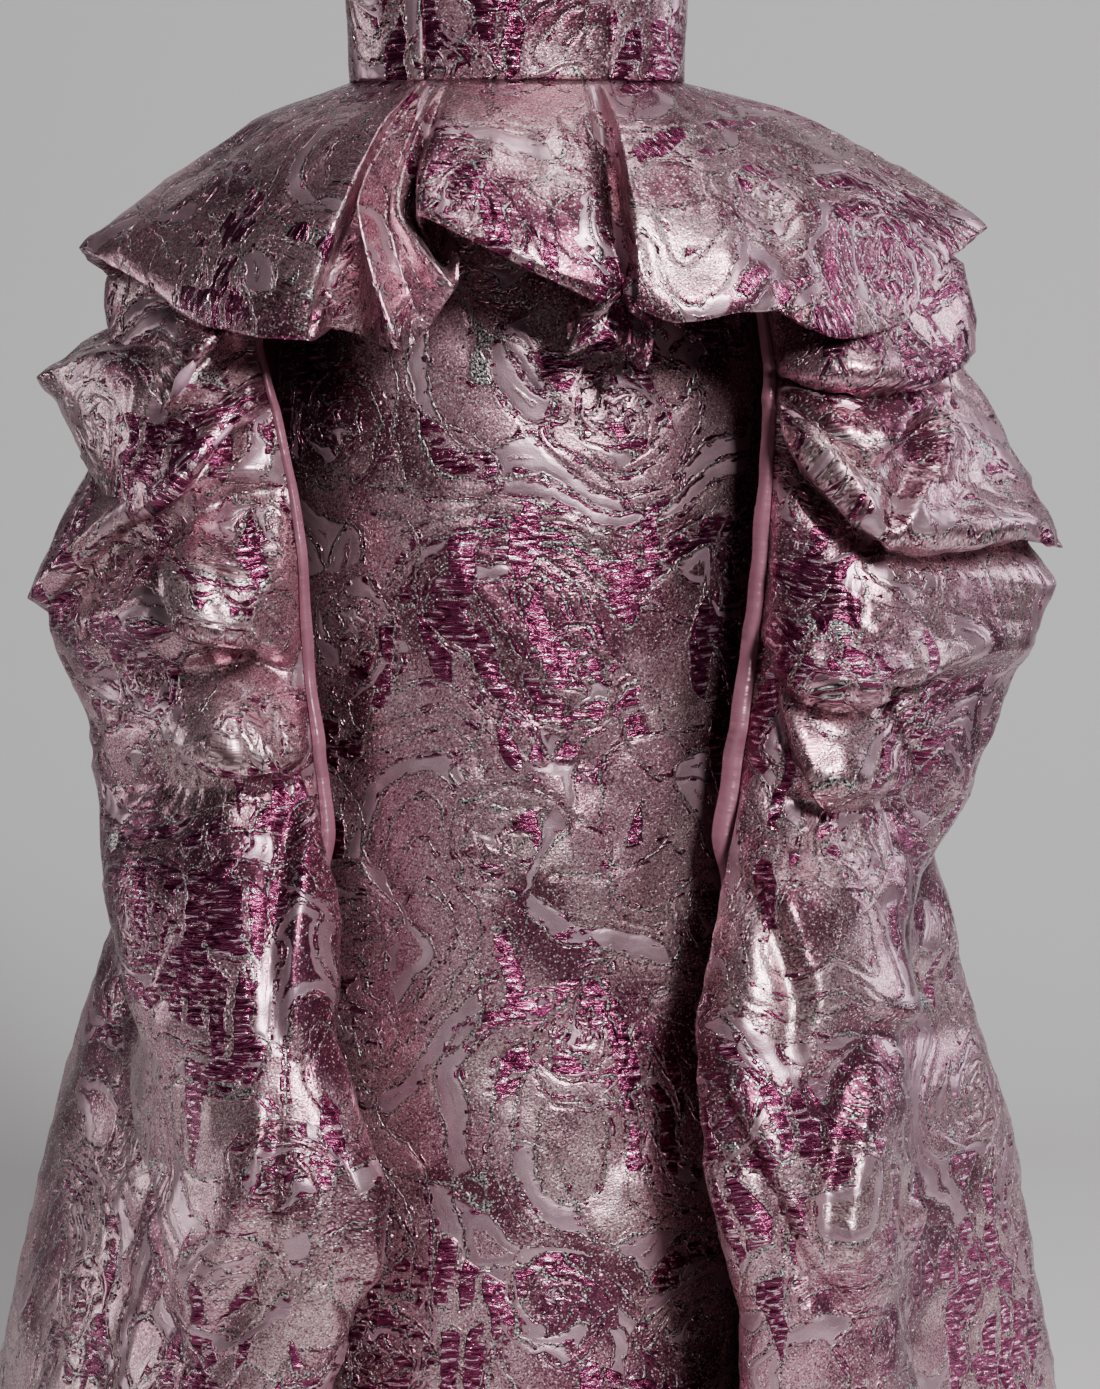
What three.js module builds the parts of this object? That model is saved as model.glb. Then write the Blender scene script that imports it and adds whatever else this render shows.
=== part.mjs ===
// A strapless evening gown as it is worn, with nobody in it: a fitted bodice in seven panels, a slim column
// skirt to the floor, a draped overskirt that is open at the front and falls into a train, and a bubble
// peplum over both. Every piece is a cloth wall laid through fold lines or body sections.
// Millimetres, +Z up, the front faces -Y. The origin is the middle of the waist seam.
import * as THREE from "three";

// Driving dimensions
const CLOTH = 2.2; // brocade with its backing
const SEAM_GAP = 0.4; // between two panels at a seam
const FLOOR = -1125; // the floor, measured from the waist seam
const WAIST_HALF_WIDTH = 125;
const WAIST_HALF_DEPTH = 95;
const HEM_CLEARANCE = 4; // the column's hem above the floor
const ON_MIDDLE = 1e-6; // nearer than this to the middle plane counts as on it

const radians = THREE.MathUtils.degToRad;
const mix = THREE.MathUtils.lerp;
const point = (x, y, z) => new THREE.Vector3(x, y, z);
const bump = (value, centre, width) => Math.exp(-(((value - centre) / width) ** 2));

// Colours and finishes
const BROCADE = { color: 0x8c6878, roughness: 0.42, metalness: 0.55 };
const SATIN = { color: 0xa8788e, roughness: 0.35, metalness: 0.1 };
const PLACKET = { color: 0x77606c, roughness: 0.6, metalness: 0 };

const gown = new THREE.Group();
gown.name = "strapless gown";

function add(name, geometry, finish) {
  const mesh = new THREE.Mesh(geometry, new THREE.MeshStandardMaterial(finish));
  mesh.name = name;
  gown.add(mesh);
}

// A smooth line through points, with `steps` samples between one point and the next. `crisp` 0 is round at
// each point and 1 is a straight crease from point to point.
function sampled(points, steps, crisp = 0) {
  const curve = new THREE.CatmullRomCurve3(points, false, "centripetal");
  const spans = points.length - 1;
  return Array.from({ length: spans * steps + 1 }, (_, i) => {
    const span = Math.min(Math.floor(i / steps), spans - 1);
    const straight = points[span].clone().lerp(points[span + 1], i / steps - span);
    return curve.getPoint(i / (spans * steps)).lerp(straight, crisp);
  });
}

// A surface laid through fold lines. Each line is a row of stations, and rows run from the top down.
function laidThrough(lines, stepsAlong, stepsDown, crisp) {
  const along = lines.map((line) => sampled(line, stepsAlong));
  const columns = along[0].map((_, j) => sampled(along.map((row) => row[j]), stepsDown, crisp));
  return columns[0].map((_, i) => columns.map((column) => column[i]));
}

// The outer and inner faces of a cloth wall. Rows run down and columns run left to right seen from outside.
// On the middle plane the wall runs straight across, so the two sides meet there edge to edge.
function thickened(grid, thickness = CLOTH) {
  const last = grid.length - 1;
  const end = grid[0].length - 1;
  const inner = grid.map((row, i) =>
    row.map((p, j) => {
      const down = grid[Math.min(i + 1, last)][j].clone().sub(grid[Math.max(i - 1, 0)][j]);
      const across = row[Math.min(j + 1, end)].clone().sub(row[Math.max(j - 1, 0)]);
      if (Math.abs(p.x) < ON_MIDDLE) across.setY(0).setZ(0);
      return down.cross(across).normalize().multiplyScalar(-thickness).add(p);
    }),
  );
  return { outer: grid, inner };
}

// The columns `from` to `to` of a wall, with a seam's gap taken off each side that meets another panel.
function slice(faces, from, to, trimFrom = true, trimTo = true, gap = SEAM_GAP) {
  const cut = (row) => {
    const part = row.slice(from, to + 1).map((p) => p.clone());
    const end = part.length - 1;
    const half = gap / 2;
    if (trimFrom) part[0].add(row[from + 1].clone().sub(row[from]).setLength(half));
    if (trimTo) part[end].add(row[to - 1].clone().sub(row[to]).setLength(half));
    return part;
  };
  return { outer: faces.outer.map(cut), inner: faces.inner.map(cut) };
}

// A closed solid from the two faces of a wall.
function solid({ outer, inner }) {
  const rows = outer.length;
  const columns = outer[0].length;
  const position = [...outer.flat(), ...inner.flat()].flatMap((p) => [p.x, p.y, p.z]);
  const front = (i, j) => i * columns + j;
  const back = (i, j) => rows * columns + front(i, j);
  const faces = [];
  const quad = (a, b, c, d) => faces.push(a, b, c, a, c, d);
  const turned = (a, b, c, d) => faces.push(b, c, d, b, d, a);
  for (let i = 0; i < rows - 1; i++) {
    for (let j = 0; j < columns - 1; j++) {
      const falling = outer[i][j].distanceTo(outer[i + 1][j + 1]);
      const rising = outer[i + 1][j].distanceTo(outer[i][j + 1]);
      const split = falling <= rising ? quad : turned;
      split(front(i, j), front(i + 1, j), front(i + 1, j + 1), front(i, j + 1));
      const mirrored = falling <= rising ? turned : quad;
      mirrored(back(i, j + 1), back(i + 1, j + 1), back(i + 1, j), back(i, j));
    }
  }
  for (let i = 0; i < rows - 1; i++) {
    quad(front(i, 0), back(i, 0), back(i + 1, 0), front(i + 1, 0));
    quad(front(i + 1, columns - 1), back(i + 1, columns - 1), back(i, columns - 1), front(i, columns - 1));
  }
  for (let j = 0; j < columns - 1; j++) {
    quad(front(0, j + 1), back(0, j + 1), back(0, j), front(0, j));
    quad(front(rows - 1, j), back(rows - 1, j), back(rows - 1, j + 1), front(rows - 1, j + 1));
  }
  const geometry = new THREE.BufferGeometry();
  geometry.setAttribute("position", new THREE.Float32BufferAttribute(position, 3));
  geometry.setIndex(faces);
  return geometry;
}

// A point on an oval round the body. Angle 0 is the front, 90 the right hand side as seen from the front.
const oval = (angle, halfWidth, halfDepth, centre, height) =>
  point(halfWidth * Math.sin(radians(angle)), centre - halfDepth * Math.cos(radians(angle)), height);

// Bodice: seven panels between princess, side and back seams, with a cup each side of the front
const BODICE_COLUMNS = ["height", "half width", "front depth", "back depth"];
const BODICE_SECTIONS = [
  [SEAM_GAP, WAIST_HALF_WIDTH, WAIST_HALF_DEPTH, WAIST_HALF_DEPTH],
  [60, 128, 99, 95],
  [110, 136, 106, 99],
  [160, 146, 114, 104],
  [205, 150, 112, 106],
  [250, 151, 106, 106],
];
const CUP = { angle: 36, spread: 23, height: 158, below: 52, above: 78, proud: 19, sideways: 0.7 };
const NECKLINE = { front: 212, peak: 238, peakSpread: 24, underarm: 198, back: 176 };
const NECKLINE_ANGLES = { front: 30, side: 90, back: 160 }; // where it starts and ends its slopes
const BODICE_SEAMS = [-180, -138, -92, -33, 33, 92, 138, 180];
const BODICE_PANELS = [
  "bodice_back_left",
  "bodice_side_back_left",
  "bodice_side_front_left",
  "bodice_center_front",
  "bodice_side_front_right",
  "bodice_side_back_right",
  "bodice_back_right",
];
const BODICE_ROWS = 9;
const SIZE_ROUNDS = 12; // steps to find a height along the bodice's side line
const BODICE_STEPS = 6;

function bodiceSize(height, column) {
  const at = BODICE_COLUMNS.indexOf(column);
  const curve = new THREE.SplineCurve(BODICE_SECTIONS.map((row) => new THREE.Vector2(row[0], row[at])));
  const [low, high] = [SEAM_GAP, BODICE_SECTIONS[BODICE_SECTIONS.length - 1][0]];
  let t = (height - low) / (high - low);
  for (let k = 0; k < SIZE_ROUNDS; k++) t += (height - curve.getPoint(t).x) / (high - low);
  return curve.getPoint(THREE.MathUtils.clamp(t, 0, 1)).y;
}

function necklineHeight(angle) {
  const around = Math.abs(angle);
  const { front, side, back } = NECKLINE_ANGLES;
  if (around < side) {
    const sweep = mix(NECKLINE.front, NECKLINE.underarm, THREE.MathUtils.smoothstep(around, front, side));
    return sweep + (NECKLINE.peak - NECKLINE.front) * bump(around, CUP.angle, NECKLINE.peakSpread);
  }
  return mix(NECKLINE.underarm, NECKLINE.back, THREE.MathUtils.smoothstep(around, side, back));
}

function bodicePoint(angle, share) {
  const height = mix(necklineHeight(angle), SEAM_GAP, share);
  const depth = Math.abs(angle) < NECKLINE_ANGLES.side ? "front depth" : "back depth";
  const rise = height > CUP.height ? CUP.above : CUP.below;
  const cup = CUP.proud * bump(Math.abs(angle), CUP.angle, CUP.spread) * bump(height, CUP.height, rise);
  const halfWidth = bodiceSize(height, "half width") + cup * CUP.sideways;
  return oval(angle, halfWidth, bodiceSize(height, depth) + cup, 0, height);
}

const bodiceAngles = BODICE_SEAMS.slice(0, -1).flatMap((from, panel) =>
  Array.from({ length: BODICE_STEPS }, (_, k) => mix(from, BODICE_SEAMS[panel + 1], k / BODICE_STEPS)),
);
bodiceAngles.push(BODICE_SEAMS[BODICE_SEAMS.length - 1]);
const bodice = thickened(
  Array.from({ length: BODICE_ROWS + 1 }, (_, i) =>
    bodiceAngles.map((angle) => bodicePoint(angle, i / BODICE_ROWS)),
  ),
);
BODICE_PANELS.forEach((name, panel) => {
  add(name, solid(slice(bodice, panel * BODICE_STEPS, (panel + 1) * BODICE_STEPS)), BROCADE);
});

// Column skirt: a slim tube from the waist to the floor, front and two backs
const COLUMN_SECTIONS = [
  // height, half width, half depth, centre behind the waist's middle
  [-3, 120.2, 89.2, 0],
  [-60, 143, 106, 4],
  [-120, 165, 120, 8],
  [-200, 181, 130, 12],
  [-300, 185, 132, 12],
  [-420, 180, 126, 10],
  [-560, 172, 118, 8],
  [-720, 168, 112, 6],
  [-900, 172, 114, 6],
  [FLOOR + HEM_CLEARANCE, 182, 122, 6],
];
// Soft drag folds across the column: where each starts and ends, and how deep it is
const DRAG_FOLDS = [
  { from: [-150, -250], to: [70, -470], depth: 4, width: 34 },
  { from: [-110, -330], to: [110, -560], depth: -3.5, width: 26 },
  { from: [-140, -420], to: [20, -600], depth: 3, width: 30 },
  { from: [160, -300], to: [40, -430], depth: 3, width: 26 },
  { from: [150, -560], to: [-30, -760], depth: -4, width: 32 },
  { from: [-120, -680], to: [60, -860], depth: 3.5, width: 34 },
  { from: [150, -760], to: [10, -980], depth: 4, width: 36 },
];
const COLUMN_STEPS = 26;
const COLUMN_ROWS = 3;

// How far a point of the column lies out of its plain form, in a drag fold that runs aslant.
function dragged(x, z) {
  return DRAG_FOLDS.reduce((sum, { from, to, depth, width }) => {
    const [dx, dz] = [to[0] - from[0], to[1] - from[1]];
    const long = Math.hypot(dx, dz);
    const along = ((x - from[0]) * dx + (z - from[1]) * dz) / long ** 2;
    const off = ((x - from[0]) * dz - (z - from[1]) * dx) / long;
    return sum + depth * bump(off, 0, width) * bump(along, 0.5, 0.5);
  }, 0);
}

const columnLines = COLUMN_SECTIONS.map(([height, halfWidth, halfDepth, centre]) =>
  Array.from({ length: COLUMN_STEPS + 1 }, (_, k) =>
    oval(-180 + (360 * k) / COLUMN_STEPS, halfWidth, halfDepth, centre, height),
  ),
);
const columnGrid = laidThrough(columnLines, 1, COLUMN_ROWS, 0).map((row, i) =>
  row.map((p) => {
    const out = i === 0 ? 0 : dragged(p.y < 0 ? p.x : -p.x, p.z);
    return p.clone().add(point(p.x, p.y, 0).normalize().multiplyScalar(out));
  }),
);
const column = thickened(columnGrid);
const COLUMN_SIDE = 7; // steps of the grid from the centre back to a side seam
add("column_back_left", solid(slice(column, 0, COLUMN_SIDE)), BROCADE);
add("column_front", solid(slice(column, COLUMN_SIDE, COLUMN_STEPS - COLUMN_SIDE)), BROCADE);
add("column_back_right", solid(slice(column, COLUMN_STEPS - COLUMN_SIDE, COLUMN_STEPS)), BROCADE);

// Overskirt. Its swags are fold lines that run from the open front edge round to the centre back.
// Columns: the fold's name; how far out the edge, the lap beside it, the corner, the nook behind the corner
// and the rear lie; how far forward the edge and the belly lie, and how far back the centre back does; and
// the heights of the edge, lap, front, apex, flank, corner and centre back.
const RIGHT_SWAGS = [
  ["shoulder", [120, 136, 216, 196, 160], [92, 104, 150], [-72, -70, -68, -66, -64, -62, -60]],
  ["first swag", [178, 184, 334, 284, 226], [112, 126, 190], [-150, -148, -146, -144, -142, -134, -150]],
  ["first lip", [190, 196, 344, 316, 256], [116, 160, 216], [-207, -211, -211, -212, -217, -200, -222]],
  ["under first", [190, 195, 326, 306, 262], [113, 122, 222], [-212, -212, -206, -204, -206, -196, -232]],
  ["cup", [190, 197, 350, 340, 296], [116, 160, 240], [-217, -226, -244, -262, -250, -236, -262]],
  ["cup pocket", [190, 198, 376, 356, 306], [116, 156, 246], [-222, -236, -268, -296, -296, -290, -300]],
  ["second lip", [190, 205, 409, 384, 330], [118, 172, 268], [-232, -252, -296, -334, -331, -347, -340]],
  ["under second", [190, 200, 384, 364, 312], [114, 120, 246], [-240, -256, -290, -318, -318, -340, -346]],
  ["third swag", [187, 196, 404, 384, 324], [116, 146, 258], [-300, -312, -336, -356, -362, -374, -380]],
  ["bowl", [184, 190, 396, 376, 320], [114, 160, 262], [-350, -360, -384, -392, -394, -396, -404]],
  ["bowl lip", [180, 190, 388, 370, 318], [114, 170, 264], [-392, -404, -432, -440, -424, -420, -426]],
  ["under bowl", [178, 184, 372, 358, 314], [108, 132, 258], [-410, -414, -424, -430, -436, -440, -446]],
  ["pleat", [170, 186, 346, 338, 312], [118, 158, 264], [-474, -484, -504, -508, -510, -512, -516]],
  ["under pleat", [167, 174, 340, 332, 312], [108, 136, 262], [-494, -506, -524, -530, -534, -536, -540]],
];
const LEFT_SWAGS = [
  ["shoulder", [120, 136, 200, 188, 156], [92, 104, 150], [-74, -72, -72, -70, -70, -70, -60]],
  ["first swag", [182, 190, 306, 282, 224], [112, 108, 190], [-140, -140, -140, -142, -144, -144, -150]],
  ["first lip", [192, 202, 306, 290, 250], [118, 150, 216], [-176, -176, -190, -214, -250, -176, -222]],
  ["under first", [191, 198, 296, 286, 248], [112, 108, 222], [-181, -180, -180, -186, -200, -178, -244]],
  ["second corner", [190, 197, 358, 344, 290], [114, 118, 244], [-196, -196, -204, -206, -200, -219, -250]],
  ["second flap", [186, 193, 344, 330, 286], [116, 134, 244], [-210, -214, -238, -262, -262, -238, -272]],
  ["second lip", [181, 192, 326, 316, 290], [118, 156, 256], [-232, -238, -262, -290, -320, -280, -318]],
  ["under second", [179, 184, 312, 302, 280], [112, 112, 240], [-240, -244, -256, -264, -268, -268, -318]],
  ["third blade", [171, 180, 367, 352, 312], [114, 130, 262], [-276, -282, -284, -296, -322, -384, -372]],
  ["blade crease", [167, 176, 350, 338, 306], [112, 114, 254], [-296, -298, -302, -318, -350, -394, -392]],
  ["pillow", [160, 172, 350, 338, 308], [116, 160, 262], [-346, -352, -366, -362, -384, -408, -410]],
  ["pillow lip", [158, 170, 346, 336, 306], [114, 164, 262], [-400, -412, -404, -396, -402, -424, -428]],
  ["under pillow", [156, 166, 334, 326, 304], [108, 118, 256], [-430, -430, -424, -428, -436, -452, -458]],
  ["lower lip", [150, 164, 314, 310, 304], [116, 158, 262], [-486, -486, -494, -486, -476, -490, -506]],
  ["under lips", [147, 160, 304, 302, 304], [108, 136, 262], [-510, -512, -520, -520, -518, -526, -540]],
];
// Below the swags the overskirt hangs in upright folds. Each row is one fold, from the edge to the centre
// back, with [across, depth] at each of these heights. Depth is towards the back.
const FALL_HEIGHTS = [-590, -690, -800, -900, -1000, FLOOR + 1];
const RIGHT_FALLS = {
  edge: [[156, -116], [164, -104], [168, -104], [172, -100], [166, -96], [158, -92]],
  lap: [[150, -150], [130, -172], [138, -190], [168, -186], [168, -168], [150, -160]],
  front: [[180, -172], [160, -206], [176, -212], [206, -206], [204, -196], [186, -200]],
  apex: [[232, -168], [232, -182], [240, -196], [258, -182], [258, -188], [252, -206]],
  flank: [[284, -104], [284, -116], [288, -118], [294, -114], [296, -118], [300, -134]],
  corner: [[306, -8], [276, -46], [274, -42], [278, -38], [282, -40], [296, -50]],
  nook: [[302, 66], [288, 60], [292, 64], [302, 76], [318, 82], [336, 84]],
  rear: [[322, 168], [348, 192], [382, 218], [404, 238], [424, 252], [446, 270]],
  quarter: [[214, 282], [246, 330], [282, 388], [300, 436], [314, 486], [328, 548]],
  back: [[0, 286], [0, 330], [0, 396], [0, 462], [0, 536], [0, 620]],
};
const LEFT_FALLS = {
  edge: [[143, -118], [148, -104], [140, -108], [140, -104], [150, -98], [150, -92]],
  lap: [[139, -150], [132, -166], [100, -190], [116, -192], [150, -172], [142, -164]],
  front: [[170, -170], [166, -196], [138, -214], [148, -210], [184, -194], [178, -202]],
  apex: [[222, -164], [216, -186], [196, -204], [206, -184], [240, -184], [244, -206]],
  flank: [[284, -100], [274, -114], [248, -114], [268, -104], [304, -104], [322, -122]],
  corner: [[298, -8], [278, -46], [276, -42], [294, -40], [326, -46], [350, -54]],
  nook: [[290, 66], [288, 52], [300, 20], [330, 20], [358, 22], [380, 26]],
  rear: [[302, 170], [332, 198], [366, 222], [390, 242], [410, 256], [434, 274]],
  quarter: [[206, 282], [240, 330], [276, 388], [296, 436], [310, 486], [326, 548]],
  back: [[0, 286], [0, 330], [0, 396], [0, 462], [0, 536], [0, 620]],
};
const STATIONS = ["edge", "lap", "front", "apex", "flank", "corner", "nook", "rear", "quarter", "back"];
const WAIST_ANGLES = [44, 50, 57, 65, 76, 90, 104, 122, 150, 180];
const OVERSKIRT_WAIST = { halfWidth: 122.8, halfDepth: 92.8, height: -1.7 };
// Where the stations between lap and corner lie: their share of the way out, and of the belly's depth
const BETWEEN = { front: [0.17, 0.98], apex: [0.34, 1], flank: [0.66, 0.66] };
const LAP_DEEP = 0.55; // the lap's share of the way from the edge's depth to the belly's
// Stations behind the corner: their shares of the rear's reach, of the depth and of the drop to the back
const NOOK = { deep: 0.3, drop: 0.25 };
const REAR = { deep: 0.66, drop: 0.5 };
const QUARTER = { out: 0.62, deep: 0.93, drop: 0.8 };
const OVERSKIRT_STEPS = 2;
const OVERSKIRT_CRISP = 0.7;
const SIDE_BACK_STATION = STATIONS.indexOf("rear");

function swagLine([, across, deep, height]) {
  const [edge, lap, corner, nook, rear] = across;
  const [edgeDeep, belly, back] = deep;
  const [edgeZ, lapZ, frontZ, apexZ, flankZ, cornerZ, backZ] = height;
  const between = ([out, forward], z) => point(mix(lap, corner, out), -belly * forward, z);
  const behind = (x, { deep: share, drop }) => point(x, back * share, mix(cornerZ, backZ, drop));
  return [
    point(edge, -edgeDeep, edgeZ),
    point(lap, -mix(edgeDeep, belly, LAP_DEEP), lapZ),
    between(BETWEEN.front, frontZ),
    between(BETWEEN.apex, apexZ),
    between(BETWEEN.flank, flankZ),
    point(corner, 0, cornerZ),
    behind(nook, NOOK),
    behind(rear, REAR),
    behind(rear * QUARTER.out, QUARTER),
    point(0, back, backZ),
  ];
}

function overskirtGrid(swags, falls) {
  const waist = WAIST_ANGLES.map((angle) =>
    oval(angle, OVERSKIRT_WAIST.halfWidth, OVERSKIRT_WAIST.halfDepth, 0, OVERSKIRT_WAIST.height),
  );
  const hanging = FALL_HEIGHTS.map((height, row) =>
    STATIONS.map((station) => point(falls[station][row][0], falls[station][row][1], height)),
  );
  return laidThrough([waist, ...swags.map(swagLine), ...hanging], OVERSKIRT_STEPS, 2, OVERSKIRT_CRISP);
}

const mirrored = (grid) => grid.map((row) => row.map((p) => point(-p.x, p.y, p.z)).reverse());
const rightOverskirt = overskirtGrid(RIGHT_SWAGS, RIGHT_FALLS);
const leftOverskirt = mirrored(overskirtGrid(LEFT_SWAGS, LEFT_FALLS));
const overskirtEnd = rightOverskirt[0].length - 1;
const sideBack = SIDE_BACK_STATION * OVERSKIRT_STEPS;
const rightWall = thickened(rightOverskirt);
const leftWall = thickened(leftOverskirt);
add("overskirt_right", solid(slice(rightWall, 0, sideBack, false)), BROCADE);
add("overskirt_back_right", solid(slice(rightWall, sideBack, overskirtEnd)), BROCADE);
add("overskirt_left", solid(slice(leftWall, overskirtEnd - sideBack, overskirtEnd, true, false)), BROCADE);
add("overskirt_back_left", solid(slice(leftWall, 0, overskirtEnd - sideBack)), BROCADE);

// Satin facings: the overskirt's front edges are faced with satin, which rolls out along each edge. Each
// row of a facing starts at the overskirt's edge, and these are the steps from there towards the middle.
const FACING_STEPS = [
  { inward: SEAM_GAP, back: 0 },
  { inward: 8, back: -2 },
  { inward: 14, back: 5 },
];
const FACING_SPAN = { top: -100, foot: -588 }; // heights that the facing runs between

function facing(grid, side) {
  const edge = grid
    .map((row) => (side > 0 ? row[0] : row.at(-1)))
    .filter(({ z }) => z < FACING_SPAN.top && z > FACING_SPAN.foot);
  const rows = edge.map((p) =>
    FACING_STEPS.map(({ inward, back }) => p.clone().add(point(-side * inward, back, 0))),
  );
  if (side > 0) rows.forEach((row) => row.reverse());
  return solid(thickened(rows));
}
add("satin_facing_left", facing(leftOverskirt, -1), SATIN);
add("satin_facing_right", facing(rightOverskirt, 1), SATIN);

// Peplum. Its fold lines run from the waist seam down over the belly to the rolled hem and under it.
// waist is the angle on the waist seam; belly and hem are [across, depth, height].
const PEPLUM_FRONT_FOLDS = [
  { fold: "left corner", waist: -90, belly: [-252, -2, -70], hem: [-330, 0, -123] },
  { fold: "left corner front", waist: -78, belly: [-236, -66, -84], hem: [-302, -48, -136] },
  { fold: "left lobe side", waist: -66, belly: [-208, -118, -98], hem: [-264, -106, -156] },
  { fold: "left lobe low", waist: -54, belly: [-178, -156, -104], hem: [-234, -146, -176] },
  { fold: "left lobe", waist: -43, belly: [-152, -180, -106], hem: [-196, -176, -185] },
  { fold: "left pleat ridge", waist: -34, belly: [-126, -188, -98], hem: [-152, -194, -188] },
  { fold: "left pleat valley", waist: -32.5, belly: [-120, -146, -100], hem: [-142, -150, -180] },
  { fold: "left pleat inside", waist: -31, belly: [-108, -150, -98], hem: [-112, -156, -186] },
  { fold: "left knot ridge", waist: -29.5, belly: [-114, -186, -90], hem: [-84, -194, -197] },
  { fold: "left knot facet", waist: -27.5, belly: [-92, -162, -98], hem: [-66, -172, -180] },
  { fold: "left knot corner", waist: -25.5, belly: [-86, -176, -94], hem: [-44, -198, -150] },
  { fold: "left hollow", waist: -23, belly: [-74, -152, -90], hem: [-62, -158, -124] },
  { fold: "centre lobe corner", waist: -19, belly: [-68, -186, -72], hem: [-69, -202, -99] },
  { fold: "centre lobe left", waist: -11, belly: [-42, -198, -84], hem: [-38, -216, -114] },
  { fold: "centre lobe", waist: -2, belly: [-8, -204, -94], hem: [-6, -222, -129] },
  { fold: "centre lobe right", waist: 8, belly: [28, -204, -100], hem: [32, -218, -148] },
  { fold: "centre lobe low", waist: 17, belly: [54, -200, -100], hem: [64, -212, -161] },
  { fold: "right pleat inner ridge", waist: 23, belly: [63, -188, -92], hem: [79, -202, -150] },
  { fold: "right knot first tip", waist: 24.5, belly: [62, -152, -108], hem: [38, -184, -199] },
  { fold: "right knot middle", waist: 25.5, belly: [70, -140, -110], hem: [70, -178, -186] },
  { fold: "right knot second tip", waist: 26.5, belly: [78, -142, -110], hem: [95, -190, -210] },
  { fold: "right pleat valley", waist: 28, belly: [82, -156, -104], hem: [102, -186, -182] },
  { fold: "right pleat ridge", waist: 30, belly: [83, -200, -90], hem: [85, -219, -164] },
  { fold: "right lobe", waist: 39, belly: [112, -194, -94], hem: [116, -222, -175] },
  { fold: "right lobe high", waist: 49, belly: [148, -184, -98], hem: [164, -214, -168] },
  { fold: "right trough", waist: 57, belly: [174, -160, -100], hem: [190, -202, -167] },
  { fold: "right lobe side", waist: 65, belly: [204, -148, -99], hem: [213, -194, -180] },
  { fold: "right lobe low", waist: 73, belly: [232, -122, -96], hem: [240, -172, -188] },
  { fold: "right lobe end", waist: 79, belly: [256, -86, -86], hem: [284, -126, -178] },
  { fold: "right corner front", waist: 85, belly: [266, -42, -68], hem: [320, -66, -134] },
  { fold: "right corner", waist: 90, belly: [268, -2, -52], hem: [354, 0, -108] },
];
const PEPLUM_BACK_FOLDS = [
  { fold: "corner back", waist: 98, belly: [256, 52, -66], hem: [324, 58, -136] },
  { fold: "back lobe side", waist: 110, belly: [224, 118, -92], hem: [276, 138, -172] },
  { fold: "back lobe", waist: 124, belly: [178, 168, -98], hem: [216, 204, -184] },
  { fold: "back pleat ridge", waist: 138, belly: [130, 202, -96], hem: [150, 244, -188] },
  { fold: "back pleat valley", waist: 142, belly: [112, 184, -100], hem: [128, 216, -182] },
  { fold: "centre back lobe", waist: 152, belly: [84, 218, -98], hem: [92, 262, -178] },
  { fold: "centre back side", waist: 168, belly: [38, 226, -98], hem: [42, 274, -176] },
  { fold: "centre back", waist: 180, belly: [0, 228, -98], hem: [0, 278, -176] },
];
const PEPLUM_WAIST = { halfWidth: 124.8, halfDepth: 94.8, height: 0 };
const HEM_ROLL = { round: 9, tuck: 15, rise: 22, below: 8 };
// Points on a fold line: above the belly, above the hem and under it, as shares of the way between
const UPPER = { out: 0.5, drop: 0.36 };
const ABOVE_HEM = 0.2;
const PUFF = { out: 4, in: 3 }; // the lobe stands out above the hem, and the hem draws in
const UNDER_HEM = 0.12;
const PEPLUM_STEPS = 2;
const PEPLUM_DOWN_STEPS = 2;
const PEPLUM_CRISP = 0.4;
const PEPLUM_SEAM_GAP = 0.9; // wider, as its hem rolls askew across the side seams

function peplumLine({ waist, belly, hem }) {
  const top = oval(waist, PEPLUM_WAIST.halfWidth, PEPLUM_WAIST.halfDepth, 0, PEPLUM_WAIST.height);
  const [bellyAt, hemAt] = [point(...belly), point(...hem)];
  const upper = top.clone().lerp(bellyAt, UPPER.out).setZ(bellyAt.z * UPPER.drop);
  const inward = point(-hemAt.x, -hemAt.y, 0).normalize();
  const above = hemAt.clone().lerp(bellyAt, ABOVE_HEM).addScaledVector(inward, -PUFF.out);
  // Where the lobe is shallow the hem's tuck rises less, so that it stays under the lobe
  const reach = Math.max(Math.hypot(hemAt.x, hemAt.y) - Math.hypot(bellyAt.x, bellyAt.y), 1);
  const lobe = ((bellyAt.z - hemAt.z) / reach) * HEM_ROLL.tuck - HEM_ROLL.below;
  const rise = Math.min(HEM_ROLL.rise, lobe);
  hemAt.addScaledVector(inward, PUFF.in);
  const under = hemAt.clone().addScaledVector(inward, HEM_ROLL.round).add(point(0, 0, rise * UNDER_HEM));
  const tuck = hemAt.clone().addScaledVector(inward, HEM_ROLL.tuck).add(point(0, 0, rise));
  return [top, upper, bellyAt, above, hemAt, under, tuck];
}

function peplumGrid(folds) {
  const lines = folds.map(peplumLine);
  const across = laidThrough(lines, PEPLUM_DOWN_STEPS, PEPLUM_STEPS, PEPLUM_CRISP);
  return across[0].map((_, j) => across.map((row) => row[j]));
}

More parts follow.
